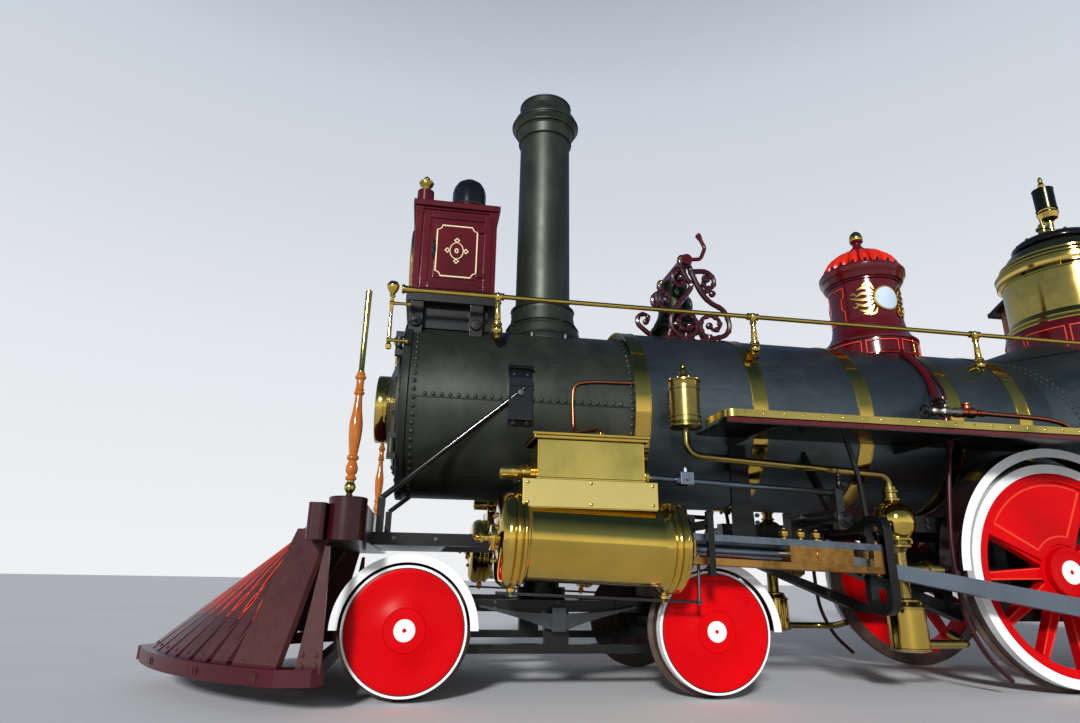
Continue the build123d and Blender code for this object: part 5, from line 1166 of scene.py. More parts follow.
bell = {"x": axleX + 1.89, "pivotZ": railTop + 2.905, "standY": 0.235}
scrollPaths = {  # the scrolls seen from the side, as x and height in metres
    "rightLeg": ((-1.372, 2.9), (-1.345, 2.819), (-1.285, 2.69), (-1.216, 2.616),
                 (-1.122, 2.562), (-1.081, 2.454), (-1.11, 2.372), (-1.21, 2.335),
                 (-1.281, 2.353), (-1.306, 2.412), (-1.29, 2.48), (-1.228, 2.512),
                 (-1.168, 2.488), (-1.158, 2.43), (-1.2, 2.398), (-1.24, 2.43)),
    "leftLeg": ((-1.448, 2.9), (-1.4, 2.8), (-1.368, 2.728), (-1.485, 2.569),
                (-1.537, 2.467), (-1.517, 2.372), (-1.424, 2.33), (-1.35, 2.372),
                (-1.335, 2.45), (-1.388, 2.51), (-1.455, 2.492), (-1.478, 2.43),
                (-1.432, 2.388), (-1.392, 2.42)),
    "topLeft": ((-1.42, 2.88), (-1.475, 2.862), (-1.508, 2.812), (-1.492, 2.756),
                (-1.445, 2.742), (-1.418, 2.775), (-1.44, 2.806)),
    "topRight": ((-1.375, 2.85), (-1.3, 2.868), (-1.228, 2.862), (-1.182, 2.808),
                 (-1.196, 2.748), (-1.246, 2.738), (-1.268, 2.782), (-1.236, 2.806)),
    "cross": ((-1.318, 2.76), (-1.27, 2.7), (-1.225, 2.72), (-1.2, 2.69)),
    "leftCurl": ((-1.53, 2.5), (-1.59, 2.545), (-1.64, 2.6), (-1.625, 2.662),
                 (-1.575, 2.676), (-1.545, 2.64), (-1.57, 2.612)),
    "footLeft": ((-1.44, 2.336), (-1.47, 2.3), (-1.44, 2.27), (-1.395, 2.296)),
    "footRight": ((-1.262, 2.34), (-1.29, 2.305), (-1.255, 2.275), (-1.215, 2.3)),
}


def makeBellStand():
    scrolls, balls, cup = forges(3)
    y, pivotX, pivotZ = -bell["standY"], bell["x"], bell["pivotZ"]
    for path in scrollPaths.values():
        line = smoothed([(x, y, z) for x, z in path])
        count = len(line)
        scrolls.tube(line, [0.0225 - 0.0095 * step / count for step in range(count)], 8)
        scrolls.lathe(line[-1] - Vector((0, -0.02, 0)), leftward, ((0, 12), (6, 24), (20, 27), (34, 24),
            (42, 10), (43, 0)), 12)
        for step in range(3, count - 3, 5):  # small cast buds along the scroll
            scrolls.lathe(line[step] - Vector((0, -0.016, 0)), leftward,
                ((0, 8), (8, 21), (18, 23.5), (28, 19), (34, 0)), 8)
    for x in (-1.43, -1.25, -1.56):
        foot, out = onBarrel(x, acos(-y / barrelAxis["radius"]) * 0.995, barrelAxis["radius"] - 0.004,
            barrelAxis["z"])
        scrolls.lathe(foot, out, ((0, 52), (14, 50), (22, 30), (50, 20)), 14)
    scrolls.tube([(-1.56, y, 2.3), (-1.545, y, 2.38)], 0.014, 8)
    scrolls.lathe((pivotX, y - 0.028, pivotZ), rightward, ((0, 40), (6, 52), (22, 55), (34, 55), (50, 52),
        (56, 40)), 28)
    balls.lathe((-1.428, y, 2.948), upward, ((-35, 16), (-30, 24), (-22, 14), (-16, 26), (4, 36),
        (18, 36), (36, 24), (44, 0)), 24)
    scrolls.lathe((-1.246, y + 0.02, 2.812), leftward, ((0, 12), (8, 28), (22, 33), (38, 28), (46, 0)),
        14)
    for forge in (scrolls, balls):
        forge.mirrored()
    crown = Vector((pivotX, 0, pivotZ))
    for drop, radius in ((0.1, 0.102), (0.285, 0.124), (0.3, 0.127), (0.42, 0.161), (0.434, 0.168),
            (0.47, 0.192)):
        cup.hoop(crown, downward, ((drop - 0.006, radius - 0.004), (drop - 0.004, radius + 0.002),
            (drop + 0.004, radius + 0.003), (drop + 0.006, radius - 0.002)), 48)
    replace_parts(scrolls.done("bellScrolls", "engine", darkMaroon), "bell_stand")
    balls.done("bellStandBalls", "engine", brass)
    cup.done("bellMouldings", "bell", bronze)
    arm = Forge()
    tip = Vector((pivotX + 0.108, -0.283, pivotZ + 0.205))
    arm.lathe(tip, (-0.45, 0, 1), ((-30, 16), (-12, 21), (12, 22), (20, 15), (24, 0)), 14)
    arm.lathe(tip + Vector((-0.006, -0.024, 0.006)), rightward, ((0, 8), (4, 14), (44, 14), (48, 8)), 12)
    arm.done("bellArmEye", "bell", maroon)


makeBellStand()
print("bell finished")


# Sand dome: fluted cap, lined panels, gold leaves round an enamel place, acorn finial

sand = {"x": 0.24, "flutes": 20, "panelRadius": 0.2745, "baseRadius": 0.342, "medalZ": 2.77}


def domeLine(forge, x, radius, corners, width=0.007, steps=8):
    points, outs = [], []
    for (angle0, z0), (angle1, z1) in zip(corners, corners[1:] + corners[:1]):
        for step in range(steps):
            share = step / steps
            angle = radians(angle0 + (angle1 - angle0) * share)
            out = Vector((sin(angle), -cos(angle), 0))
            reach = radius(z0 + (z1 - z0) * share) if callable(radius) else radius
            points.append(Vector((x, 0, z0 + (z1 - z0) * share)) + out * reach)
            outs.append(out)
    forge.border(points, outs, width, 0.0018)


def onDome(x, along, z, radius):  # along runs round the dome from its left side, in metres
    angle = along / radius
    out = Vector((sin(angle), -cos(angle), 0))
    return Vector((x, 0, z)) + out * radius, out


leaves = (  # gold leaves beside the round place: start, middle and end as run and rise, width
    ((-0.105, -0.06), (-0.15, -0.11), (-0.215, -0.092), 0.02),
    ((-0.108, -0.03), (-0.175, -0.06), (-0.24, -0.03), 0.02),
    ((-0.11, 0.0), (-0.19, -0.01), (-0.278, 0.018), 0.02),
    ((-0.108, 0.025), (-0.18, 0.045), (-0.236, 0.02), 0.018),
    ((-0.104, 0.045), (-0.16, 0.092), (-0.222, 0.078), 0.02),
    ((-0.096, 0.07), (-0.13, 0.125), (-0.18, 0.112), 0.018),
    ((-0.15, -0.105), (-0.16, -0.128), (-0.192, -0.126), 0.014),
    ((-0.215, -0.045), (-0.24, -0.068), (-0.262, -0.052), 0.012),
    ((-0.225, 0.03), (-0.25, 0.052), (-0.272, 0.046), 0.012),
    ((-0.086, -0.084), (-0.104, -0.126), (-0.14, -0.134), 0.014))


def makeSandDome():
    flutes, lines, gold, finial, body = forges(5)
    x, medalZ, radius = sand["x"], sand["medalZ"], sand["panelRadius"]
    capLine = ((0.266, 3.058), (0.258, 3.086), (0.24, 3.12), (0.212, 3.156), (0.18, 3.188),
        (0.146, 3.216), (0.116, 3.236))
    for step in range(sand["flutes"]):
        angle = tau * (step + 0.5) / sand["flutes"]
        out = Vector((sin(angle), -cos(angle), 0))
        points = [Vector((x, 0, railTop + z)) + out * reach for reach, z in capLine]
        flutes.tube(points, [0.027, 0.036, 0.035, 0.031, 0.025, 0.018, 0.008], 8)
        body.stud(points[0] + out * 0.026 + Vector((0, 0, 0.018)), out + Vector((0, 0, 0.3)), 0.013,
            0.012, 6)
    origin = (x, 0, railTop)
    body.collar(origin, upward, ((2908, 268), (2916, 286), (2926, 286), (2934, 296), (2960, 305),
        (2985, 322), (2995, 327), (3032, 329), (3042, 322), (3048, 306), (3056, 300), (3060, 284),
        (3052, 262)), 72)
    body.collar(origin, upward, ((2395, 330), (2400, 348), (2414, 350), (2424, 340), (2450, 312),
        (2480, 298), (2486, 290), (2486, 275)), 72)
    body.lathe(origin, upward, ((3222, 110), (3226, 132), (3234, 137), (3242, 130), (3246, 108),
        (3256, 100), (3264, 76), (3274, 68), (3290, 56), (3300, 47), (3308, 39), (3320, 34), (3340, 34),
        (3350, 46), (3360, 53), (3366, 50), (3367, 0)), 40)
    finial.lathe(origin, upward, ((3362, 40), (3370, 50), (3384, 53), (3410, 50), (3434, 40), (3452, 22),
        (3461, 0)), 32)
    for middle in (-90, 90):
        domeLine(lines, x, radius, [(middle - 21, 2.61), (middle - 21, 2.7), (middle - 16, 2.72),
            (middle - 16, 2.8), (middle - 21, 2.82), (middle - 21, 2.9), (middle + 21, 2.9),
            (middle + 21, 2.82), (middle + 16, 2.8), (middle + 16, 2.72), (middle + 21, 2.7),
            (middle + 21, 2.61)], 0.007, 3)
    for middle in (-66, -22, 22, 66, 114, 158, 202, 246):
        domeLine(lines, x, sand["baseRadius"] + 0.004, [(middle - 19, 2.3), (middle - 19, 2.4),
            (middle + 19, 2.4), (middle + 19, 2.3)])
    place = Forge()
    for flip in (-1, 1):
        for start, middle, end, wide in leaves:
            run = smoothed([(*start, 0), (*middle, 0), (*end, 0)], 5)
            count = len(run) - 1
            spots = [onDome(x, flip * spot.x, medalZ + spot.y, radius) for spot in run]
            widths = [wide * (0.25 + 1.5 * (step / count) * (1 - step / count) * 2)
                if step < count else 0.003 for step in range(count + 1)]
            gold.ribbon([spot[0] for spot in spots], [spot[1] for spot in spots], widths, 0.002)
    for forge, reach, lift in ((gold, 0.104, 0.002), (place, 0.092, 0.004)):
        rings = []
        for size in (1.0, 0.7, 0.4, 0.0):
            if size == 0:
                at, out = onDome(x, 0, medalZ, radius)
                rings.append([forge.mesh.verts.new(at + out * lift)])
                continue
            ring = []
            for step in range(48):
                angle = tau * step / 48
                at, out = onDome(x, reach * size * cos(angle), medalZ + reach * size * sin(angle), radius)
                ring.append(forge.mesh.verts.new(at + out * lift))
            rings.append(ring)
        forge.bridge(rings)
    for forge in (gold, place):
        forge.mirrored()
    settle((flutes, "sandDomeFlutes", orangePaint), (lines, "sandDomeLines", orangeLine),
        (gold, "sandDomeLeaves", goldLeaf), (place, "sandDomePlaces", enamel),
        (body, "sandDomeMouldings", maroon), (finial, "sandDomeAcorn", goldRing))


makeSandDome()


# Steam dome: black lid, base lining, whistle valve beside the whistle

dome = {"x": 2.23}


def makeSteamDome():
    lid, rings, lines, valve = forges(4)
    x = dome["x"]
    lid.lathe((x, 0, railTop), upward, ((3488, 283), (3492, 326), (3500, 333), (3524, 333), (3534, 326),
        (3552, 306), (3574, 250), (3594, 160), (3608, 64), (3624, 60), (3628, 30)), 72)
    for z, radius in ((2.702, 0.494), (2.744, 0.482), (3.164, 0.468), (3.196, 0.494), (3.262, 0.5),
            (3.302, 0.472), (3.344, 0.452)):
        rings.bead((x, 0, railTop + z), upward, radius, 0.01, 0.006, 0.008, 0.003, 96)
    for middle in range(-144, 181, 36):
        domeLine(lines, x, lambda z: 0.5315 - 0.029 * (z - 2.3),
            [(middle - 16, 2.48), (middle - 16, 2.65), (middle + 16, 2.65), (middle + 16, 2.48)], 0.008)
    for run, across in around(12):
        valve.nut((x + 0.285 * run, 0.285 * across, railTop + 3.56), upward, 0.014, 0.012)
    valve.lathe((x - 0.16, -0.06, railTop + 3.575), upward, ((0, 40), (60, 38), (66, 52), (85, 52),
        (90, 30), (120, 28), (128, 12), (170, 10), (172, 0)), 20)
    valve.tube([(x - 0.16, -0.06, railTop + 3.69), (x + 0.02, 0.0, railTop + 3.695)], 0.009, 8)
    settle((lid, "steamDomeLid", glossBlack), (rings, "steamDomeRings", brass),
        (lines, "steamDomeLines", orangeLine), (valve, "whistleValve", oldBrass))
    fins = Forge()
    for z, radius in ((3.855, 0.084), (3.89, 0.083), (4.096, 0.084)):
        fins.bead((x, 0, railTop + z), upward, radius, 0.006, 0.003, 0.006, 0.002, 40)
    fins.lathe((x, 0, railTop), upward, ((3894, 20), (3894, 81.5), (4090, 83), (4090, 20)), 40)
    fins.done("whistleBell", "engine", greenBronze)


makeSteamDome()
print("domes finished")


# Running boards: brass angle along the edge with its studs, nuts of the stays

board = {"frontX": boardLow.x, "rearX": cabLow.x, "edge": boardHigh.y, "topZ": boardHigh.z}


def makeBoards():
    strip, studs, stays = forges(3)
    x0, x1 = board["frontX"], board["rearX"]
    edge, top = board["edge"], board["topZ"]
    corner = [(x0 + 0.045 - 0.055 * sin(radians(turn)), -edge + 0.045 - 0.055 * cos(radians(turn)))
        for turn in range(0, 91, 15)]
    line = [(x1, -edge - 0.01)] + corner + [(x0 - 0.01, -0.99), (x0 + 0.02, -0.9)]
    strip.ribbon([(x, y, top - 0.016) for x, y in line],
        [leftward] + [(-sin(radians(turn)), -cos(radians(turn)), 0) for turn in range(0, 91, 15)] + [
        (-1, -0.1, 0), (-0.9, -0.4, 0)], 0.04, 0.004)
    strip.box((x0 + 0.05, -edge - 0.01, top + 0.001), (x1, -edge + 0.034, top + 0.006))
    for step in range(int((x1 - x0) / 0.12)):
        x = x0 + 0.09 + step * 0.12
        studs.stud((x, -edge - 0.013, top - 0.015), leftward, 0.0085, 0.006, 10)
        studs.stud((x, -edge + 0.014, top + 0.005), upward, 0.0085, 0.005, 10)
    for x in (x0 + 0.315, x0 + 1.515, driverMid.x + 1.165, x1 - 0.185):
        for y in (-1.15, -0.95):
            stays.nut((x, y, top), upward, 0.014, 0.01)
    settle((strip, "boardEdges", greenBrass), (studs, "boardStuds", brass),
        (stays, "boardStays", frameBlack), twice=True)


makeBoards()


# Boiler: the fourth band, beads and bolts of the bands, wagon-top rivet seams, washout plugs

bandX = (axleX + 1.405, axleX + 2.21, axleX + 2.975, axleX + 3.665, axleX + 4.21)
wagonAxis = {"z": railTop + 1.797, "radius": 0.715, "slopeRivets": 56}


def makeBands():
    band, beads, joints, seams, plugs = forges(5)
    radius = barrelAxis["radius"] + 0.005
    for x in bandX:
        axis = smokeAxis["z"] + 0.017
        if x == bandX[3]:
            band.hoop((x, 0, axis), rearward, ((-0.052, radius - 0.01), (-0.052, radius), (0.052, radius),
                (0.052, radius - 0.01)), 96)
        for shift in (-0.047, 0.047):
            beads.bead((x + shift, 0, axis), rearward, radius, 0.005, 0.003, 0.004, 0.0025, 96)
        for side in engineSides:
            for shift in (-0.03, 0.03):
                joints.nut((x + shift, side * 0.03, axis - radius), downward, 0.012, 0.014)
    for shift in (0.01, 0.048):
        rivetRing(seams, 1.652 + shift, wagonAxis["radius"], wagonAxis["z"], -0.9, pi + 0.9, 0.048, 0.012)
    for shift in (-0.022, 0.022):
        for step in range(wagonAxis["slopeRivets"] + 1):
            angle = -0.25 + (pi + 0.5) * step / wagonAxis["slopeRivets"]
            x = 1.36 + shift - 0.285 * max(0.0, sin(angle))
            share = max(0.0, (x - 1.15) / 0.5)
            at, out = onBarrel(x, angle, barrelAxis["radius"] + 0.089 * share,
                barrelAxis["z"] + 0.089 * share)
            seams.stud(at, out, 0.012, 0.01)
    for x in (1.95, 2.35, 2.7):
        at, out = onBarrel(x, 0.62, wagonAxis["radius"], wagonAxis["z"])
        plugs.lathe(at, out, ((-10, 34), (8, 34), (12, 26), (14, 0)), 20)
        plugs.box((at.x - 0.012, at.y - 0.016, at.z), (at.x + 0.012, at.y + 0.004, at.z + 0.03))
    joints.mirrored()
    plugs.mirrored()
    settle((band, "fourthBoilerBand", brass), (beads, "boilerBandBeads", goldRing),
        (joints, "boilerBandBolts", darkSteel), (seams, "wagonTopRivets", graphite),
        (plugs, "washoutPlugs", brass))


makeBands()
print("boiler finished")


# Valves and pipes: sand pipes, injector line, check valve rings, pump rings and branches

pipeY = -0.8  # the plane that the pipes, valves and pumps stand in


def makePipes():
    black, red, cast, pipe, rings, wheels = forges(6)
    reach = barrelAxis["radius"] + 0.02
    sanding = [(0.124, pipeY, 1.533), (0.06, pipeY, 1.2), (0.015, pipeY, 0.865), (0.017, pipeY, 0.657),
        (0.035, pipeY, 0.427), (0.135, pipeY, 0.22), (0.29, -0.79, 0.085)]
    black.tube(rounded(sanding, 0.1), 0.015, 10)
    black.lathe((0.118, pipeY, 1.5), upward, ((-20, 26), (50, 26), (56, 18)), 16)
    high = [onBarrel(0.228, angle, reach, barrelAxis["z"])[0] for angle in (0.98, 0.8, 0.6, 0.42)]
    high += [Vector((0.19, -0.655, 1.88)), Vector((0.14, -0.74, 1.8)), Vector((0.126, pipeY, 1.7)),
        Vector((0.124, pipeY, 1.533))]
    red.tube(rounded(high, 0.05), 0.022, 12)
    red.lathe((0.134, -0.752, 1.79), (-0.1, -0.35, -0.9), ((-8, 40), (-8, 48), (8, 48), (8, 40)), 24)
    black.tube(rounded([high[0] + Vector((0.03, 0, 0.01)), (0.262, -0.6, 2.02), (0.24, -0.68, 1.92),
        (0.16, -0.79, 1.79)], 0.06), 0.011, 8)
    for run, across in around(4, 0.5):
        red.nut((0.134 + 0.034 * run, -0.765 + 0.03 * across, 1.78), (0, -0.35, -0.9), 0.008, 0.012)
    line = Vector((0, pipeY, 1.722))
    cast.lathe(line + Vector((0.02, 0, 0)), rearward, ((0, 20), (10, 30), (35, 34), (45, 26), (70, 28),
        (85, 40), (130, 40), (145, 27), (175, 25), (180, 34), (215, 34), (222, 22)), 24)
    pipe.lathe(line + Vector((0.235, 0, 0.004)), rearward, ((0, 22), (6, 34), (30, 36), (44, 28),
        (62, 26), (70, 36), (100, 38), (112, 28), (130, 22)), 24)
    pipe.lathe(line + Vector((0.295, 0, 0.03)), upward, ((0, 26), (20, 26), (26, 34), (34, 34), (40, 18),
        (50, 0)), 18)
    cast.lathe(line + Vector((0.128, 0, 0.03)), upward, ((-10, 24), (24, 22), (30, 30), (44, 30),
        (50, 14), (75, 10), (77, 0)), 18)
    for centre, out in (((-0.02, pipeY, 1.713), rearward), ((0.07, -0.815, 1.778), (-0.5, -0.5, 0.6))):
        out = Vector(out).normalized()
        rim = [(0.006 * depth, 0.045 + 0.006 * reach) for reach, depth in around(8)]
        wheels.hoop(centre, out, rim, 24)
        side = out.orthogonal().normalized()
        for turn in range(3):
            spoke = Matrix.Rotation(pi * turn / 3, 3, out) @ side
            wheels.tube([Vector(centre) - spoke * 0.045, Vector(centre) + spoke * 0.045], 0.004, 6)
        wheels.tube([Vector(centre), Vector(centre) + out * 0.05], 0.006, 8)
    pipe.tube(rounded([(0.355, pipeY, 1.728), (0.89, -0.795, 1.716), (1.05, -0.79, 1.69),
        (1.125, -0.78, 1.62), (1.125, -0.77, 1.545)], 0.1), 0.017, 12)
    pipe.lathe((0.4, pipeY, 1.727), rearward, ((-20, 17), (-18, 25), (18, 25), (20, 17)), 18)
    check = Vector((axleX + 1.62, -0.78, railTop + 1.49))
    for z, radius in ((0.044, 0.094), (0.075, 0.094), (0.25, 0.094), (0.302, 0.1), (0.014, 0.097)):
        rings.bead(lifted(check, z), upward, radius, 0.008, 0.004, 0.006, 0.005, 40)
    for run, across in around(8):
        rings.nut(check + Vector((0.088 * run, 0.088 * across, 0.304)), upward, 0.009, 0.01)
    rings.nut(lifted(check, 0.052), downward, 0.046, 0.04)
    rings.stud(lifted(check, 0.404), upward, 0.018, 0.024, 16)
    rings.lathe(check + Vector((0, 0.04, 0.16)), rightward, ((0, 40), (60, 40), (65, 56), (85, 56)), 24)
    pump = Vector((axleX + 2.94, pipeY, railTop + 0.221))
    ball = Forge()
    ball.lathe(pump, upward, ((636, 74), (652, 87), (664, 96), (680, 104.5), (700, 113), (724, 118),
        (748, 119.5), (772, 118), (795, 113), (815, 105), (832, 94), (846, 80), (856, 66), (860, 50)), 48)
    ball.lathe(pump, upward, ((14, 100), (16, 106.5), (250, 106.5), (252, 100)), 48)
    for z, radius in ((0.018, 0.107), (0.246, 0.107), (0.286, 0.078), (0.6, 0.078), (0.64, 0.086),
            (0.88, 0.05), (0.93, 0.046)):
        rings.bead(lifted(pump, z), upward, radius, 0.01, 0.005, 0.006, 0.006, 40)
    for run, across in around(6):
        for z in (0.262, 0.618):
            rings.nut(pump + Vector((0.088 * run, 0.088 * across, z)), upward, 0.01, 0.014)
    rings.lathe(pump + Vector((0.02, 0, 0.463)), rearward, ((0, 44), (140, 44), (146, 58), (168, 58),
        (172, 46), (232, 46), (238, 34), (260, 30)), 28)
    rings.tube(rounded([(-0.27, pipeY, 0.292), (0.01, pipeY, 0.292), (0.09, -0.7, 0.296),
        (0.11, -0.56, 0.33)], 0.06), 0.025, 12)
    settle((black, "sandPipes", darkMaroon), (red, "sandValvePipes", maroon),
        (cast, "injectorValves", greySteel), (pipe, "feedPipes", copper),
        (rings, "pumpAndCheckRings", oldBrass), (ball, "pumpChambers", brass),
        (wheels, "valveWheels", frameBlack), twice=True)


makePipes()
print("pipes finished")


# Drivers: lined counterweights, painted highlights along the spokes, hub discs and bosses, rim mouldings,
# pin caps

driver = {"hubFace": 0.835, "spokeFace": 0.781, "weightFace": 0.8, "spokes": 12, "crank": 0.305,
    "angles": {-1: -57.0, 1: 33.0}}


def onWheel(axle, side, radius, turn, face):  # turn in degrees
    angle = radians(turn)
    return Vector((axle.x + radius * cos(angle), side * face, axle.z + radius * sin(angle)))


def makeDrivers():
    face, hubFace, spokeFace = (driver[key] for key in ("weightFace", "hubFace", "spokeFace"))
    for end, axle in (("front", driverMid), ("rear", rearDriverMid)):
        body = end + "_driver_wheelset"
        lines, discs, caps, bosses, rims, weights = forges(6)
        for side in engineSides:
            crank = driver["angles"][side]
            out = Vector((0, side, 0))
            outline = [onWheel(axle, side, 0.548, crank + 180 + turn, face) for turn in range(-55, 29, 4)]
            outline += [onWheel(axle, side, 0.222, crank + 180 - turn, face)
                for turn in range(-20, 47, 6)]
            lines.border(outline, out, 0.01, 0.0018)
            sector = [(0.6, turn) for turn in range(-60, -29, 5)]
            sector += [(0.172, turn) for turn in range(-30, -61, -5)]
            weights.plate(sector, lambda reach, turn, lift: onWheel(axle, side, reach, crank + 180 + turn,
                0.71 + lift), face - 0.7105)
            # orange lines along both edges of each spoke clear of the counterweight: painted highlights;
            # the line round the counterweight above is lining
            for number in range(driver["spokes"]):
                if number in (0, 4, 5, 6, 7):
                    continue
                for edge in (-1, 1):
                    ends = []
                    for radius, half in ((0.175, 0.031), (0.548, 0.019)):
                        turn = degrees(atan2(edge * half, radius))
                        ends.append(onWheel(axle, side, hypot(radius, half), crank + 30 * number + turn,
                            spokeFace))
                    lines.ribbon(ends, out, 0.0065, 0.0015)
            hub = (axle.x, 0, axle.z)
            discs.turned(hub, out, ((hubFace - 0.004, 0.072), (hubFace + 0.003, 0.072),
                (hubFace + 0.004, 0.068), (hubFace + 0.004, 0.016), (hubFace - 0.001, 0.013),
                (hubFace - 0.001, 0)), 40)
            bosses.turned(hub, out, ((spokeFace, 0.176), (spokeFace + 0.01, 0.17),
                (spokeFace + 0.014, 0.152), (hubFace - 0.008, 0.1505), (hubFace + 0.001, 0.143),
                (hubFace + 0.0015, 0.112), (hubFace - 0.001, 0.108)), 56)
            rims.collar(hub, out, ((806, 624), (813.5, 624), (815, 620), (815, 600), (812.5, 594),
                (812.5, 586), (810.5, 580)), 96)
            pin = onWheel(axle, side, driver["crank"], crank, 0.953)
            if end == "rear":
                caps.lathe(pin, out, ((-20, 66), (2, 66), (6, 58), (8, 30), (12, 26), (20, 22), (21, 0)),
                    28)
        # the driver lines hold the counterweight lining and the painted spoke highlights
        settle((lines, end + "DriverLines", orangeLine), (discs, end + "HubDiscs", whitePaint),
            (bosses, end + "HubBosses", wheelRed), (rims, end + "RimMouldings", wheelRed),
            (weights, end + "Counterweights", wheelRed), body=body)
        if end == "rear":
            caps.done("rearPinCaps", body, darkSteel)
        else:
            caps.mesh.free()


makeDrivers()
print("drivers finished")


# Rods: straps, keys, bolts, oil cups and bushes

slideReach = {-1: 1.8607, 1: 1.7921}  # crosshead pin ahead of the front driving axle at rest


def oilCup(forge, at, up):
    forge.lathe(at, up, ((-6, 10), (10, 10), (14, 20), (22, 24), (42, 24), (48, 16), (54, 10), (60, 10),
        (64, 5), (66, 0)), 18)


def makeRods():
    for side, name in ((-1, "left"), (1, "right")):
        straps, bolts, cups, bushes = forges(4)
        near = Vector((driverMid.x, 0, driverMid.z)) - slideAxis * slideReach[side]
        far = onWheel(driverMid, side, driver["crank"], driver["angles"][side], 0)
        far.y = 0
        along = (far - near).normalized()
        up = Vector((-along.z, 0, along.x))
        out = Vector((0, side, 0))

        def spot(origin, run, rise, y):
            return origin + along * run + up * rise + out * y

        for origin, start, end, half in ((far, -0.3, 0.115, 0.078), (near, 0.1, -0.05, 0.046)):
            for rise in (-half, half):
                straps.beam(spot(origin, start, rise, 1.0), spot(origin, end, rise, 1.0), 0.06, 0.024,
                    out)
            tip = end + (0.012 if end > 0 else -0.008)
            straps.beam(spot(origin, tip, -half - 0.01, 1.0), spot(origin, tip, half + 0.01, 1.0), 0.06,
                0.022, out)
            for run in (start * 0.92, start * 0.7):
                for rise in (-half, half):
                    bolts.nut(spot(origin, run, rise, 1.029), out, 0.013, 0.012)
        straps.beam(spot(far, -0.15, -0.125, 1.0), spot(far, -0.135, 0.125, 1.0), 0.03, 0.026, out)
        straps.beam(spot(far, -0.178, -0.112, 1.0), spot(far, -0.168, 0.118, 1.0), 0.026, 0.022, out)
        straps.lathe(spot(far, 0, 0, 1.034), out, ((0, 78), (8, 78), (12, 70), (13, 54), (10, 50),
            (10, 0)), 32)
        straps.lathe(spot(near, 0, 0, 1.028), out, ((0, 40), (8, 40), (12, 30), (13, 0)), 24)
        oilCup(cups, spot(far, 0.0, 0.098, 1.0), up)
        oilCup(cups, spot(near, 0.03, 0.052, 1.0), up)
        settle((straps, name + "MainRodStraps", steel, 0.003), (bolts, name + "MainRodBolts", darkSteel),
            (cups, name + "MainRodCups", goldRing), body="main_rod_" + name)
        sideCups = Forge()
        wheelbase = rearDriverMid.x - driverMid.x
        for shift in (0, wheelbase):
            pin = Vector((far.x + shift, side * 0.895, far.z))
            oilCup(sideCups, lifted(pin, 0.088), upward)
            bushes.collar(pin, out, ((26, 78), (31, 78), (33, 74), (33, 60), (29, 58)), 36)
        for shift in (0.3, wheelbase - 0.3):
            for rise in (-0.024, 0.024):
                bushes.nut(Vector((far.x + shift, side * 0.924, far.z + rise)), out, 0.011, 0.01)
        for rise in (-0.03, 0.03):
            line = [Vector((far.x + shift, side * 0.925, far.z + rise))
                for shift in (0.36, wheelbase - 0.36)]
            bushes.ribbon(line, out, 0.006, 0.002)
        settle((sideCups, name + "SideRodCups", goldRing), (bushes, name + "SideRodBushes", darkSteel),
            body="side_rod_" + name)


makeRods()


# Guides: oil cups, spacer blocks, brackets with rocker bosses, yoke loops, valve rod couplings

guide = {"bracketX": (-1.73, -1.695), "yokeX": (-0.664, -0.612), "y": -1.0, "yokeZ": 0.734,
    "couplingX": -1.765, "spindleZ": 1.188, "rockerX": -0.8}


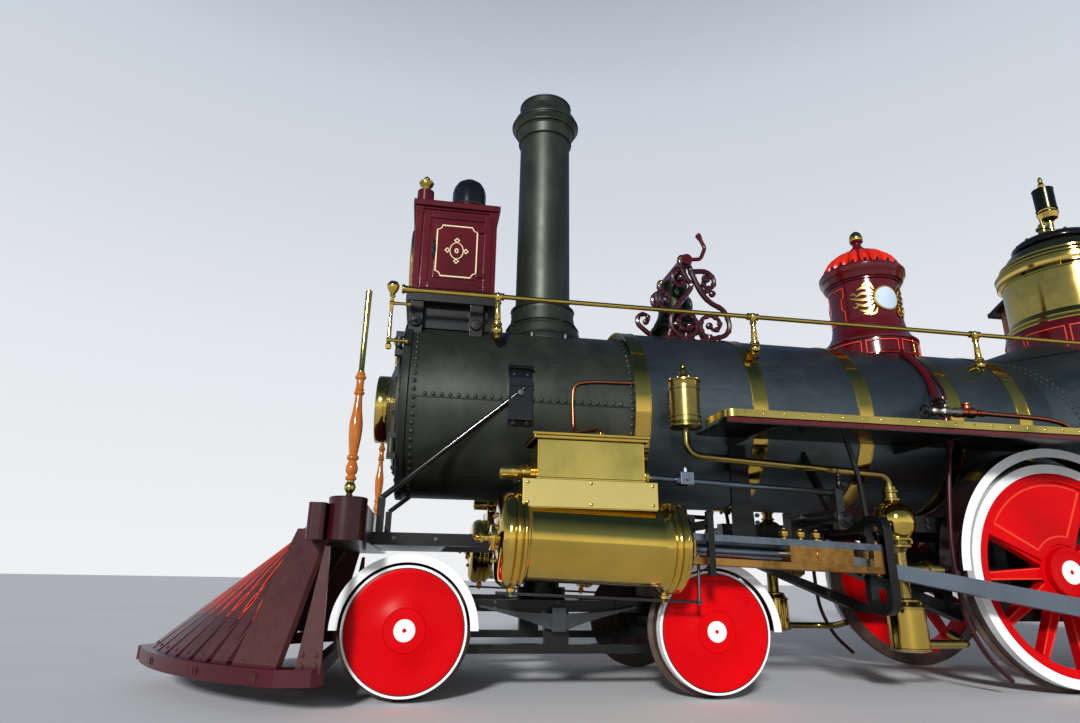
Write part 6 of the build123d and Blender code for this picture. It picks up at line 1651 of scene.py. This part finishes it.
def makeGuideFittings():
    cups, blocks, dark, loops, couplings = forges(5)
    (face, back), (yoke, yokeBack) = guide["bracketX"], guide["yokeX"]
    rocker, spindleZ = guide["rockerX"], guide["spindleZ"]
    for x in (-1.255, -1.156, -1.062):
        along = x - (driverMid.x - cylinder["reach"])
        oilCup(cups, onSlide(along, -1, 0.078, 0.07), slideRise)
    for start, end in ((1.042, 1.083), (2.135, 2.196)):
        for shift in (-0.07, 0.07):
            blocks.beam(onSlide(start, -1, 0.0, shift), onSlide(end, -1, 0.0, shift), 0.046, 0.092,
                rightward)
            for rise in (-0.08, 0.08):
                blocks.nut(onSlide((start + end) / 2, -1, rise, shift),
                    slideRise * (1 if rise > 0 else -1), 0.013, 0.012)
    for y0, y1, low in ((-0.89, -0.85, 0.78), (-1.152, -1.112, 0.655)):
        dark.box((face, y0, low), (back, y1, 0.99))
    dark.box((face, -1.15, 0.9), (back, -0.86, 0.945))
    for y, z in ((-1.13, 0.93), (-0.87, 0.96), (-1.13, 0.69)):
        dark.nut((face, y, z), forward, 0.014, 0.014)
    pairs = []
    for x in (yoke, yokeBack):
        rims = []
        for halfY, halfZ, corner in ((0.118, 0.276, 0.09), (0.064, 0.226, 0.045)):
            ring = []
            for cornerY, cornerZ, start in ((1, 1, 0), (-1, 1, 90), (-1, -1, 180), (1, -1, 270)):
                for turn in range(0, 91, 15):
                    angle = radians(start + turn)
                    ring.append(loops.mesh.verts.new(
                        (x, guide["y"] + cornerY * (halfY - corner) + corner * cos(angle),
                        guide["yokeZ"] + cornerZ * (halfZ - corner) + corner * sin(angle))))
            rims.append(ring)
        pairs.append(rims)
    loops.bridge([*pairs[0], *reversed(pairs[1])], closed=True)
    for low, high in ((-0.95, -0.886), (-1.114, -1.05)):
        loops.box((yoke, low, 0.655), (-0.614, high, 0.895))
    loops.box((-0.66, -0.905, 0.92), (-0.616, -0.57, 0.985))
    loops.tube([(-0.64, -0.94, 0.99), (-0.668, -0.95, 1.247), (-0.732, -0.96, 1.5)], 0.016, 10)
    loops.beam((-0.638, -0.64, 0.97), (-0.79, -0.52, 1.49), 0.06, 0.03, rightward)
    for y, z in ((-1.082, 0.915), (-1.082, 0.625), (-0.918, 0.915), (-0.918, 0.625)):
        loops.nut((yoke, y, z), forward, 0.014, 0.014)
    couplings.box((-1.805, -0.985, 1.152), (-1.725, -0.915, 1.224))
    couplings.nut((guide["couplingX"], -0.95, 1.224), upward, 0.018, 0.024)
    couplings.nut((guide["couplingX"], -0.985, spindleZ), leftward, 0.016, 0.014)
    dark.lathe((rocker, -0.975, spindleZ), leftward, ((-10, 34), (12, 34), (18, 20), (30, 18), (31, 0)),
        20)
    dark.lathe((-0.801, -0.918, 0.984), leftward, ((0, 50), (62, 50), (66, 40), (70, 24), (80, 22),
        (81, 0)), 28)
    dark.lathe((rocker, -0.95, 1.222), upward, ((-20, 14), (10, 14), (14, 20), (30, 20), (36, 8), (60, 6),
        (61, 0)), 14)
    for forge in (cups, blocks, dark, loops, couplings):
        forge.mirrored()
    settle((cups, "guideOilCups", goldRing), (blocks, "guideSpacers", guideBronze, 0.003),
        (dark, "guideBrackets", frameBlack, 0.004))
    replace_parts(loops.done("guideYokeLoops", "engine", frameBlack, 0.004), "guide_yokes")
    couplings.done("valveRodCouplings", "engine", steel, 0.004)


makeGuideFittings()
print("rods and guides finished")


# Frame and truck: bolts along the rails, spring leaves and hangers, bolts and leaves of the truck

def leafSpring(forge, x, y, z, reach, leaves, width):
    for number in range(leaves):
        half = reach * (1 - number / (leaves + 1.5))
        line = [(x + half * share, y, z - number * 0.013 + 0.045 * share * share)
            for share in (-1, -0.75, -0.5, -0.25, 0, 0.25, 0.5, 0.75, 1)]
        forge.ribbon(line, upward, width, 0.0095)


under = {"railY": -0.57, "springY": -0.61, "truckY": -0.565, "truckX": -2.439}


def makeUnderframe():
    bolts, leaves, clips = forges(3)
    x = -1.15
    while x < 4.4:
        if abs(x - driverMid.x) > 0.34 and abs(x - rearDriverMid.x) > 0.34:
            for z in (0.985, 1.03):
                bolts.nut((x, under["railY"], z), leftward, 0.014, 0.014)
        x += 0.3
    x = -3.4
    while x < -1.5:
        bolts.nut((x, under["railY"], 0.834), leftward, 0.014, 0.014)
        x += 0.24
    for axle in (driverMid, rearDriverMid):
        for shift in (-0.16, 0.16):
            for z in (0.5, 0.62, 0.74, 0.86):
                bolts.nut((axle.x + shift, under["railY"], z), leftward, 0.014, 0.014)
        leafSpring(leaves, axle.x, under["springY"], 1.19, 0.4, 8, 0.075)
        clips.box((axle.x - 0.045, -0.652, 1.075), (axle.x + 0.045, -0.572, 1.215))
        for shift in (-0.38, 0.38):
            clips.tube([(axle.x + shift, under["springY"], 1.235), (axle.x + shift, -0.6, 1.01)], 0.012,
                8)
            clips.nut((axle.x + shift, under["springY"], 1.24), upward, 0.018, 0.02)
    settle((bolts, "frameBolts", darkSteel), (leaves, "springLeaves", darkSteel),
        (clips, "springHangers", frameBlack, 0.003), twice=True)
    truckBolts, truckLeaves = forges(2)
    for x in (-3.38, -3.22, -2.8, under["truckX"], -2.08, -1.66, -1.5):
        for z in (0.46, 0.492):
            truckBolts.nut((x, under["truckY"], z), leftward, 0.013, 0.013)
    leafSpring(truckLeaves, under["truckX"], -0.6, 0.425, 0.46, 7, 0.06)
    truckBolts.box((-2.48, -0.634, 0.34), (-2.398, -0.566, 0.47))
    settle((truckBolts, "truckBolts", darkSteel, 0.002), (truckLeaves, "truckSpringLeaves", darkSteel),
        twice=True, body="truck")


makeUnderframe()
print("underframe finished")


# Cab: sashes and glass, mouldings and panels, roof ribs and edge, seats, gauges, levers

cab = {"frontX": cabLow.x, "rearX": cabHigh.x, "outer": cabHigh.y, "eavesZ": 3.448,
    "windowX": (0.29, 0.71), "windowZ": 2.337, "windowHigh": 0.95, "windowHalf": 0.28, "roofFrontX": 2.73,
    "roofRearX": 4.71, "roofHalf": 1.36, "backX": 3.08}


def frameBars(x0, x1, z0, z1, wide):  # low and high corners of four bars round an opening
    return (((x0, z0), (x1, z0 + wide)), ((x0, z1 - wide), (x1, z1)), ((x0, z0), (x0 + wide, z1)),
        ((x1 - wide, z0), (x1, z1)))


def archLine(centre, bottom, top, half, steps=14):
    spring = top - half
    line = [(centre - half, bottom)]
    line += [(centre - half * cos(pi * step / steps), spring + half * sin(pi * step / steps))
        for step in range(steps + 1)]
    return line + [(centre + half, bottom)]


def makeCab():
    sashes, panes, mould, lines, rail = forges(5)
    y = -cab["outer"]
    x0, x1, half, eaves = (cab[key] for key in ("frontX", "rearX", "windowHalf", "eavesZ"))
    for share in cab["windowX"]:
        centre = x0 + share * (x1 - x0)
        low, high = cab["windowZ"], cab["windowZ"] + cab["windowHigh"]
        sash = archLine(centre, low + 0.02, high - 0.02, half - 0.02)
        sashes.border([(x, y + 0.012, z) for x, z in sash], leftward, 0.042, 0.002)
        sashes.border([(x, y + 0.03, z) for x, z in sash], rightward, 0.042, 0.002)
        sashes.box((centre - 0.262, y + 0.01, low + 0.395), (centre + 0.262, y + 0.032, low + 0.43))
        sashes.box((centre - 0.012, y + 0.012, low + 0.43), (centre + 0.012, y + 0.03, high - 0.02))
        pane = archLine(centre, low + 0.01, high - 0.01, half - 0.01)
        panes.plate(pane, lambda x, z, lift: Vector((x, y + 0.019 + lift, z)), 0.004)
        case = archLine(centre, low - 0.02, high + 0.028, half + 0.028)
        mould.border([(x, y, z) for x, z in case], leftward, 0.046, 0.014)
        mould.box((centre - 0.34, y - 0.032, low - 0.05), (centre + 0.34, y + 0.002, low - 0.018))
        mould.box((centre - 0.045, y - 0.022, high + 0.01), (centre + 0.045, y, high + 0.085))
    middle = (x0 + x1) / 2
    for z, grow in ((eaves - 0.06, 0.026), (eaves - 0.1, 0.014), (2.235, 0.016), (1.56, 0.016),
            (1.43, 0.02)):
        mould.box((x0 - 0.002, y - grow, z), (x1 + 0.002, y + 0.002, z + 0.036))
    for x in (x0 + 0.028, middle, x1 - 0.028):
        mould.box((x - 0.03, y - 0.018, 1.43), (x + 0.03, y + 0.002, eaves - 0.02))
    for low, high in ((x0 + 0.085, middle - 0.055), (middle + 0.055, x1 - 0.085)):
        panel = notched(low, high, 1.64, 2.19, 0.05)
        lines.border([(x, y, z) for x, z in panel], leftward, 0.009, 0.002)
        panel = notched(low + 0.03, high - 0.03, 1.67, 2.16, 0.05)
        lines.border([(x, y, z) for x, z in panel], leftward, 0.004, 0.002)
    rail.tube(rounded([(x1 + 0.004, y + 0.04, 1.62), (x1 + 0.06, y + 0.04, 1.68),
        (x1 + 0.06, y + 0.04, 2.62), (x1 + 0.004, y + 0.04, 2.68)], 0.05), 0.013, 10)
    for z in (1.62, 2.68):
        rail.lathe((x1, y + 0.04, z), rearward, ((-2, 28), (8, 28), (12, 16)), 18)
    sashes.box((x0 + 0.24, y - 0.03, 2.3), (x0 + 0.76, y, 2.322))
    settle((sashes, "cabSashes", cabWood, 0.002), (panes, "cabPanes", glass),
        (mould, "cabMouldings", cabWood, 0.003), (lines, "cabLines", creamLine),
        (rail, "cabGrabRails", brass), twice=True)


cabDoor = {"sashX": (2.828, 2.846), "panelX": (2.812, 2.824), "inner": 0.844, "outer": 1.085,
    "lowZ": 2.361, "topZ": 2.943, "knobZ": 2.3}


def makeCabDoors():
    (sash0, sash1), (panel0, panel1) = cabDoor["sashX"], cabDoor["panelX"]
    low, high, z0, z1 = (cabDoor[key] for key in ("inner", "outer", "lowZ", "topZ"))
    for name, side in (("left", -1), ("right", 1)):
        sash, knob, pane = forges(3)
        bars = frameBars(low, high, z0, z1, 0.03) + (((low, 2.64), (high, 2.665)),)
        for first, last in bars:
            sash.box((sash0, side * first[0], first[1]), (sash1, side * last[0], last[1]))
        for first, last in frameBars(0.8, 1.13, 1.66, 2.265, 0.015):
            sash.box((panel0, side * first[0], first[1]), (panel1, side * last[0], last[1]))
        pane.box((2.834, side * (low + 0.01), z0 + 0.01), (2.838, side * (high - 0.01), z1 - 0.01))
        knob.lathe((2.822, side * 0.8, cabDoor["knobZ"]), forward, ((0, 20), (6, 20), (10, 9), (20, 9),
            (26, 20), (36, 18), (40, 0)), 18)
        settle((sash, name + "FrontDoorSash", cabWood, 0.002), (pane, name + "FrontDoorPane", glass),
            (knob, name + "FrontDoorKnob", brass), body="cab_door_" + name)


def makeRoof():
    ribs, edge = forges(2)
    front, rear = cab["roofFrontX"], cab["roofRearX"]
    crown, half = cab["eavesZ"] + 0.295, cab["roofHalf"]
    radius = (1.27 ** 2 + 0.26 ** 2) / (2 * 0.26)
    centreZ = cab["eavesZ"] + 0.26 - radius

    def roofArc(x, lift, reach=1.22, steps=24):
        return [Vector((x, (radius + lift) * sin(angle), centreZ + (radius + lift) * cos(angle)))
            for angle in [asin(reach / radius) * (2 * step / steps - 1) for step in range(steps + 1)]]

    for step in range(5):
        x = front + 0.06 + step * (rear - front - 0.12) / 4
        arc = roofArc(x, 0.035)
        outs = [(spot - Vector((x, 0, centreZ))).normalized() for spot in arc]
        ribs.ribbon(arc, outs, 0.028, 0.006)
    for side in engineSides:
        edge.box((front, side * (half - 0.012), 3.412), (rear, side * (half + 0.008), 3.462))
    ventX = 3.75
    ribs.box((ventX - 0.26, -0.3, crown - 0.02), (ventX + 0.26, 0.3, crown + 0.045))
    ribs.box((ventX - 0.28, -0.32, crown + 0.045), (ventX + 0.28, 0.32, crown + 0.062))
    for x in (cab["frontX"] + 0.045, 3.65, cab["rearX"] - 0.03):
        under = roofArc(x, -0.012, 1.2)
        outs = [(Vector((x, 0, centreZ)) - spot).normalized() for spot in under]
        edge.ribbon(under, outs, 0.045, 0.03)
    settle((ribs, "roofRibs", frameBlack, 0.003), (edge, "roofEdges", cabWood, 0.003))


def makeBackhead():
    gauges, dials, levers, pipes, seats = forges(5)
    back = cab["backX"]
    for y, z, radius in ((-0.33, 2.245, 0.095), (-0.02, 2.42, 0.06), (0.16, 2.4, 0.055)):
        gauges.turned((back + 0.045, y, z), rearward, ((-0.04, radius * 0.8), (0.026, radius),
            (0.036, radius + 0.006), (0.046, radius), (0.044, radius - 0.012), (0.036, radius - 0.014)),
            36)
        dials.turned((back + 0.07, y, z), rearward, ((0, radius - 0.01), (0.013, radius - 0.012),
            (0.0135, 0)), 32)
        levers.beam((back + 0.085, y, z), (back + 0.085, y + radius * 0.5, z + radius * 0.5), 0.005,
            0.002, rearward)
    glassY = 0.3
    for z in (1.9, 2.16):
        gauges.lathe((back, glassY, z), rearward, ((0, 26), (50, 22), (85, 22), (90, 0)), 18)
    gauges.tube([(back + 0.065, glassY, 1.88), (back + 0.065, glassY, 2.18)], 0.011, 10)
    for y, z in ((-0.2, 1.765), (-0.23, 1.855), (-0.26, 1.945)):
        gauges.lathe((back + 0.09, y, z), rearward, ((0, 12), (30, 12), (34, 20), (46, 20), (50, 0)), 14)
    levers.tube(rounded([(back + 0.1, -0.04, 2.155), (back + 0.14, 0.14, 2.18),
        (back + 0.16, 0.38, 2.215), (back + 0.24, 0.42, 2.22)], 0.04), 0.013, 10)
    quadrantX, leverY = back + 0.62, 0.64
    levers.beam((quadrantX, leverY, 1.555), (quadrantX - 0.1, leverY, 2.35), 0.05, 0.018, rearward)
    levers.tube([(quadrantX - 0.1, leverY, 2.35), (quadrantX - 0.12, leverY, 2.5)], 0.016, 10)
    levers.tube([(quadrantX - 0.055, leverY, 2.1), (quadrantX - 0.08, leverY, 2.44)], 0.006, 8)
    arc = [(quadrantX + 0.75 * sin(radians(turn)), 0.64, 1.3 + 0.75 * cos(radians(turn)))
        for turn in range(-28, 29, 7)]
    levers.ribbon(arc, leftward, 0.045, 0.02)
    for x in (arc[0][0] + 0.01, arc[-1][0] - 0.01):
        levers.beam((x, leverY, 1.537), (x, leverY, 1.97), 0.04, 0.016, rearward)
    pipes.tube(rounded([(back + 0.02, -0.1, 2.36), (back + 0.1, -0.1, 2.42), (back + 0.1, -0.1, 2.52),
        (back + 0.02, -0.1, 2.5)], 0.04), 0.01, 8)
    pipes.tube(rounded([(back + 0.03, -0.33, 2.15), (back + 0.09, -0.38, 2.0), (back + 0.05, -0.42, 1.62),
        (back + 0.03, -0.42, 1.2)], 0.06), 0.01, 8)
    for side in engineSides:
        seats.box((3.4, side * 0.835, 1.967), (4.31, side * 1.215, 2.02))
    levers.box((back + 0.004, -0.24, 1.12), (back + 0.16, 0.24, 1.15))
    settle((gauges, "backheadGauges", brass), (dials, "gaugeDials", dialWhite),
        (levers, "cabLevers", darkSteel, 0.002), (pipes, "backheadPipes", copper),
        (seats, "cabSeats", leather, 0.018))


makeCab()
makeCabDoors()
print("cab walls finished")
makeRoof()
makeBackhead()
print("cab finished")


# Rear deck: planks, step treads, hand rails, unions of the feed pipes; rivets of the fire door

deck = {"frontX": 4.49, "rearX": 4.845, "half": 1.17, "topZ": 1.058, "planks": 11, "railY": 1.215,
    "unionY": 0.36}


def makeDeck():
    planks, iron, bolts, rails, unions = forges(5)
    top, count, half = deck["topZ"], deck["planks"], deck["half"]
    for number in range(count):
        y0 = -half + 2 * half * number / count
        planks.box((deck["frontX"], y0 + 0.004, top - 0.002),
            (deck["rearX"], y0 + 2 * half / count - 0.004, top + 0.016))
    for side in engineSides:
        outer, union = side * deck["railY"], side * deck["unionY"]
        x0, x1 = 4.655, 4.838
        y0, y1 = sorted((side * 0.895, side * 1.155))
        iron.box((x0 - 0.006, y0 - 0.004, 0.448), (x1 + 0.004, y1 + 0.004, 0.462))
        for step in range(5):
            y = y0 + 0.03 + step * 0.05
            iron.box((x0, y - 0.006, 0.462), (x1, y + 0.006, 0.467))
        iron.box((x0 + 0.02, y0, 0.735), (x1, y1, 0.752))
        rails.tube(rounded([(4.82, side * 1.195, 0.7), (4.86, outer, 0.76), (4.86, outer, 1.4),
            (4.5, outer, 1.52)], 0.06), 0.012, 10)
        for z in (0.95, 1.02):
            for y in (0.35, 0.65, 0.95):
                bolts.nut((4.85, side * y, z - 0.01), rearward, 0.016, 0.014)
        unions.tube(rounded([(4.6, union, 0.9), (4.7, union, 0.78), (4.82, union, 0.72),
            (4.845, union, 0.62)], 0.06), 0.028, 12)
        unions.lathe((4.845, union, 0.63), (0.1, 0, -1), ((-20, 34), (30, 34), (34, 26)), 18)
    iron.box((4.842, -0.28, 0.8), (4.854, 0.28, 0.848))
    iron.box((4.842, -0.28, 0.908), (4.854, 0.28, 1.05))
    settle((planks, "deckPlanks", deckWood, 0.003), (iron, "deckIron", frameBlack, 0.003),
        (bolts, "deckBolts", darkSteel), (rails, "deckGrabRails", brass),
        (unions, "feedUnions", oldBrass))
    fire = Forge()
    hole = Vector((3.135, 0, 1.348))
    for across, up in around(12):
        fire.stud(hole + Vector((-0.006, 0.165 * across, 0.165 * up)), rearward, 0.01, 0.008)
    fire.done("fireDoorRivets", "fire_door", darkSteel)


makeDeck()
print("deck finished")
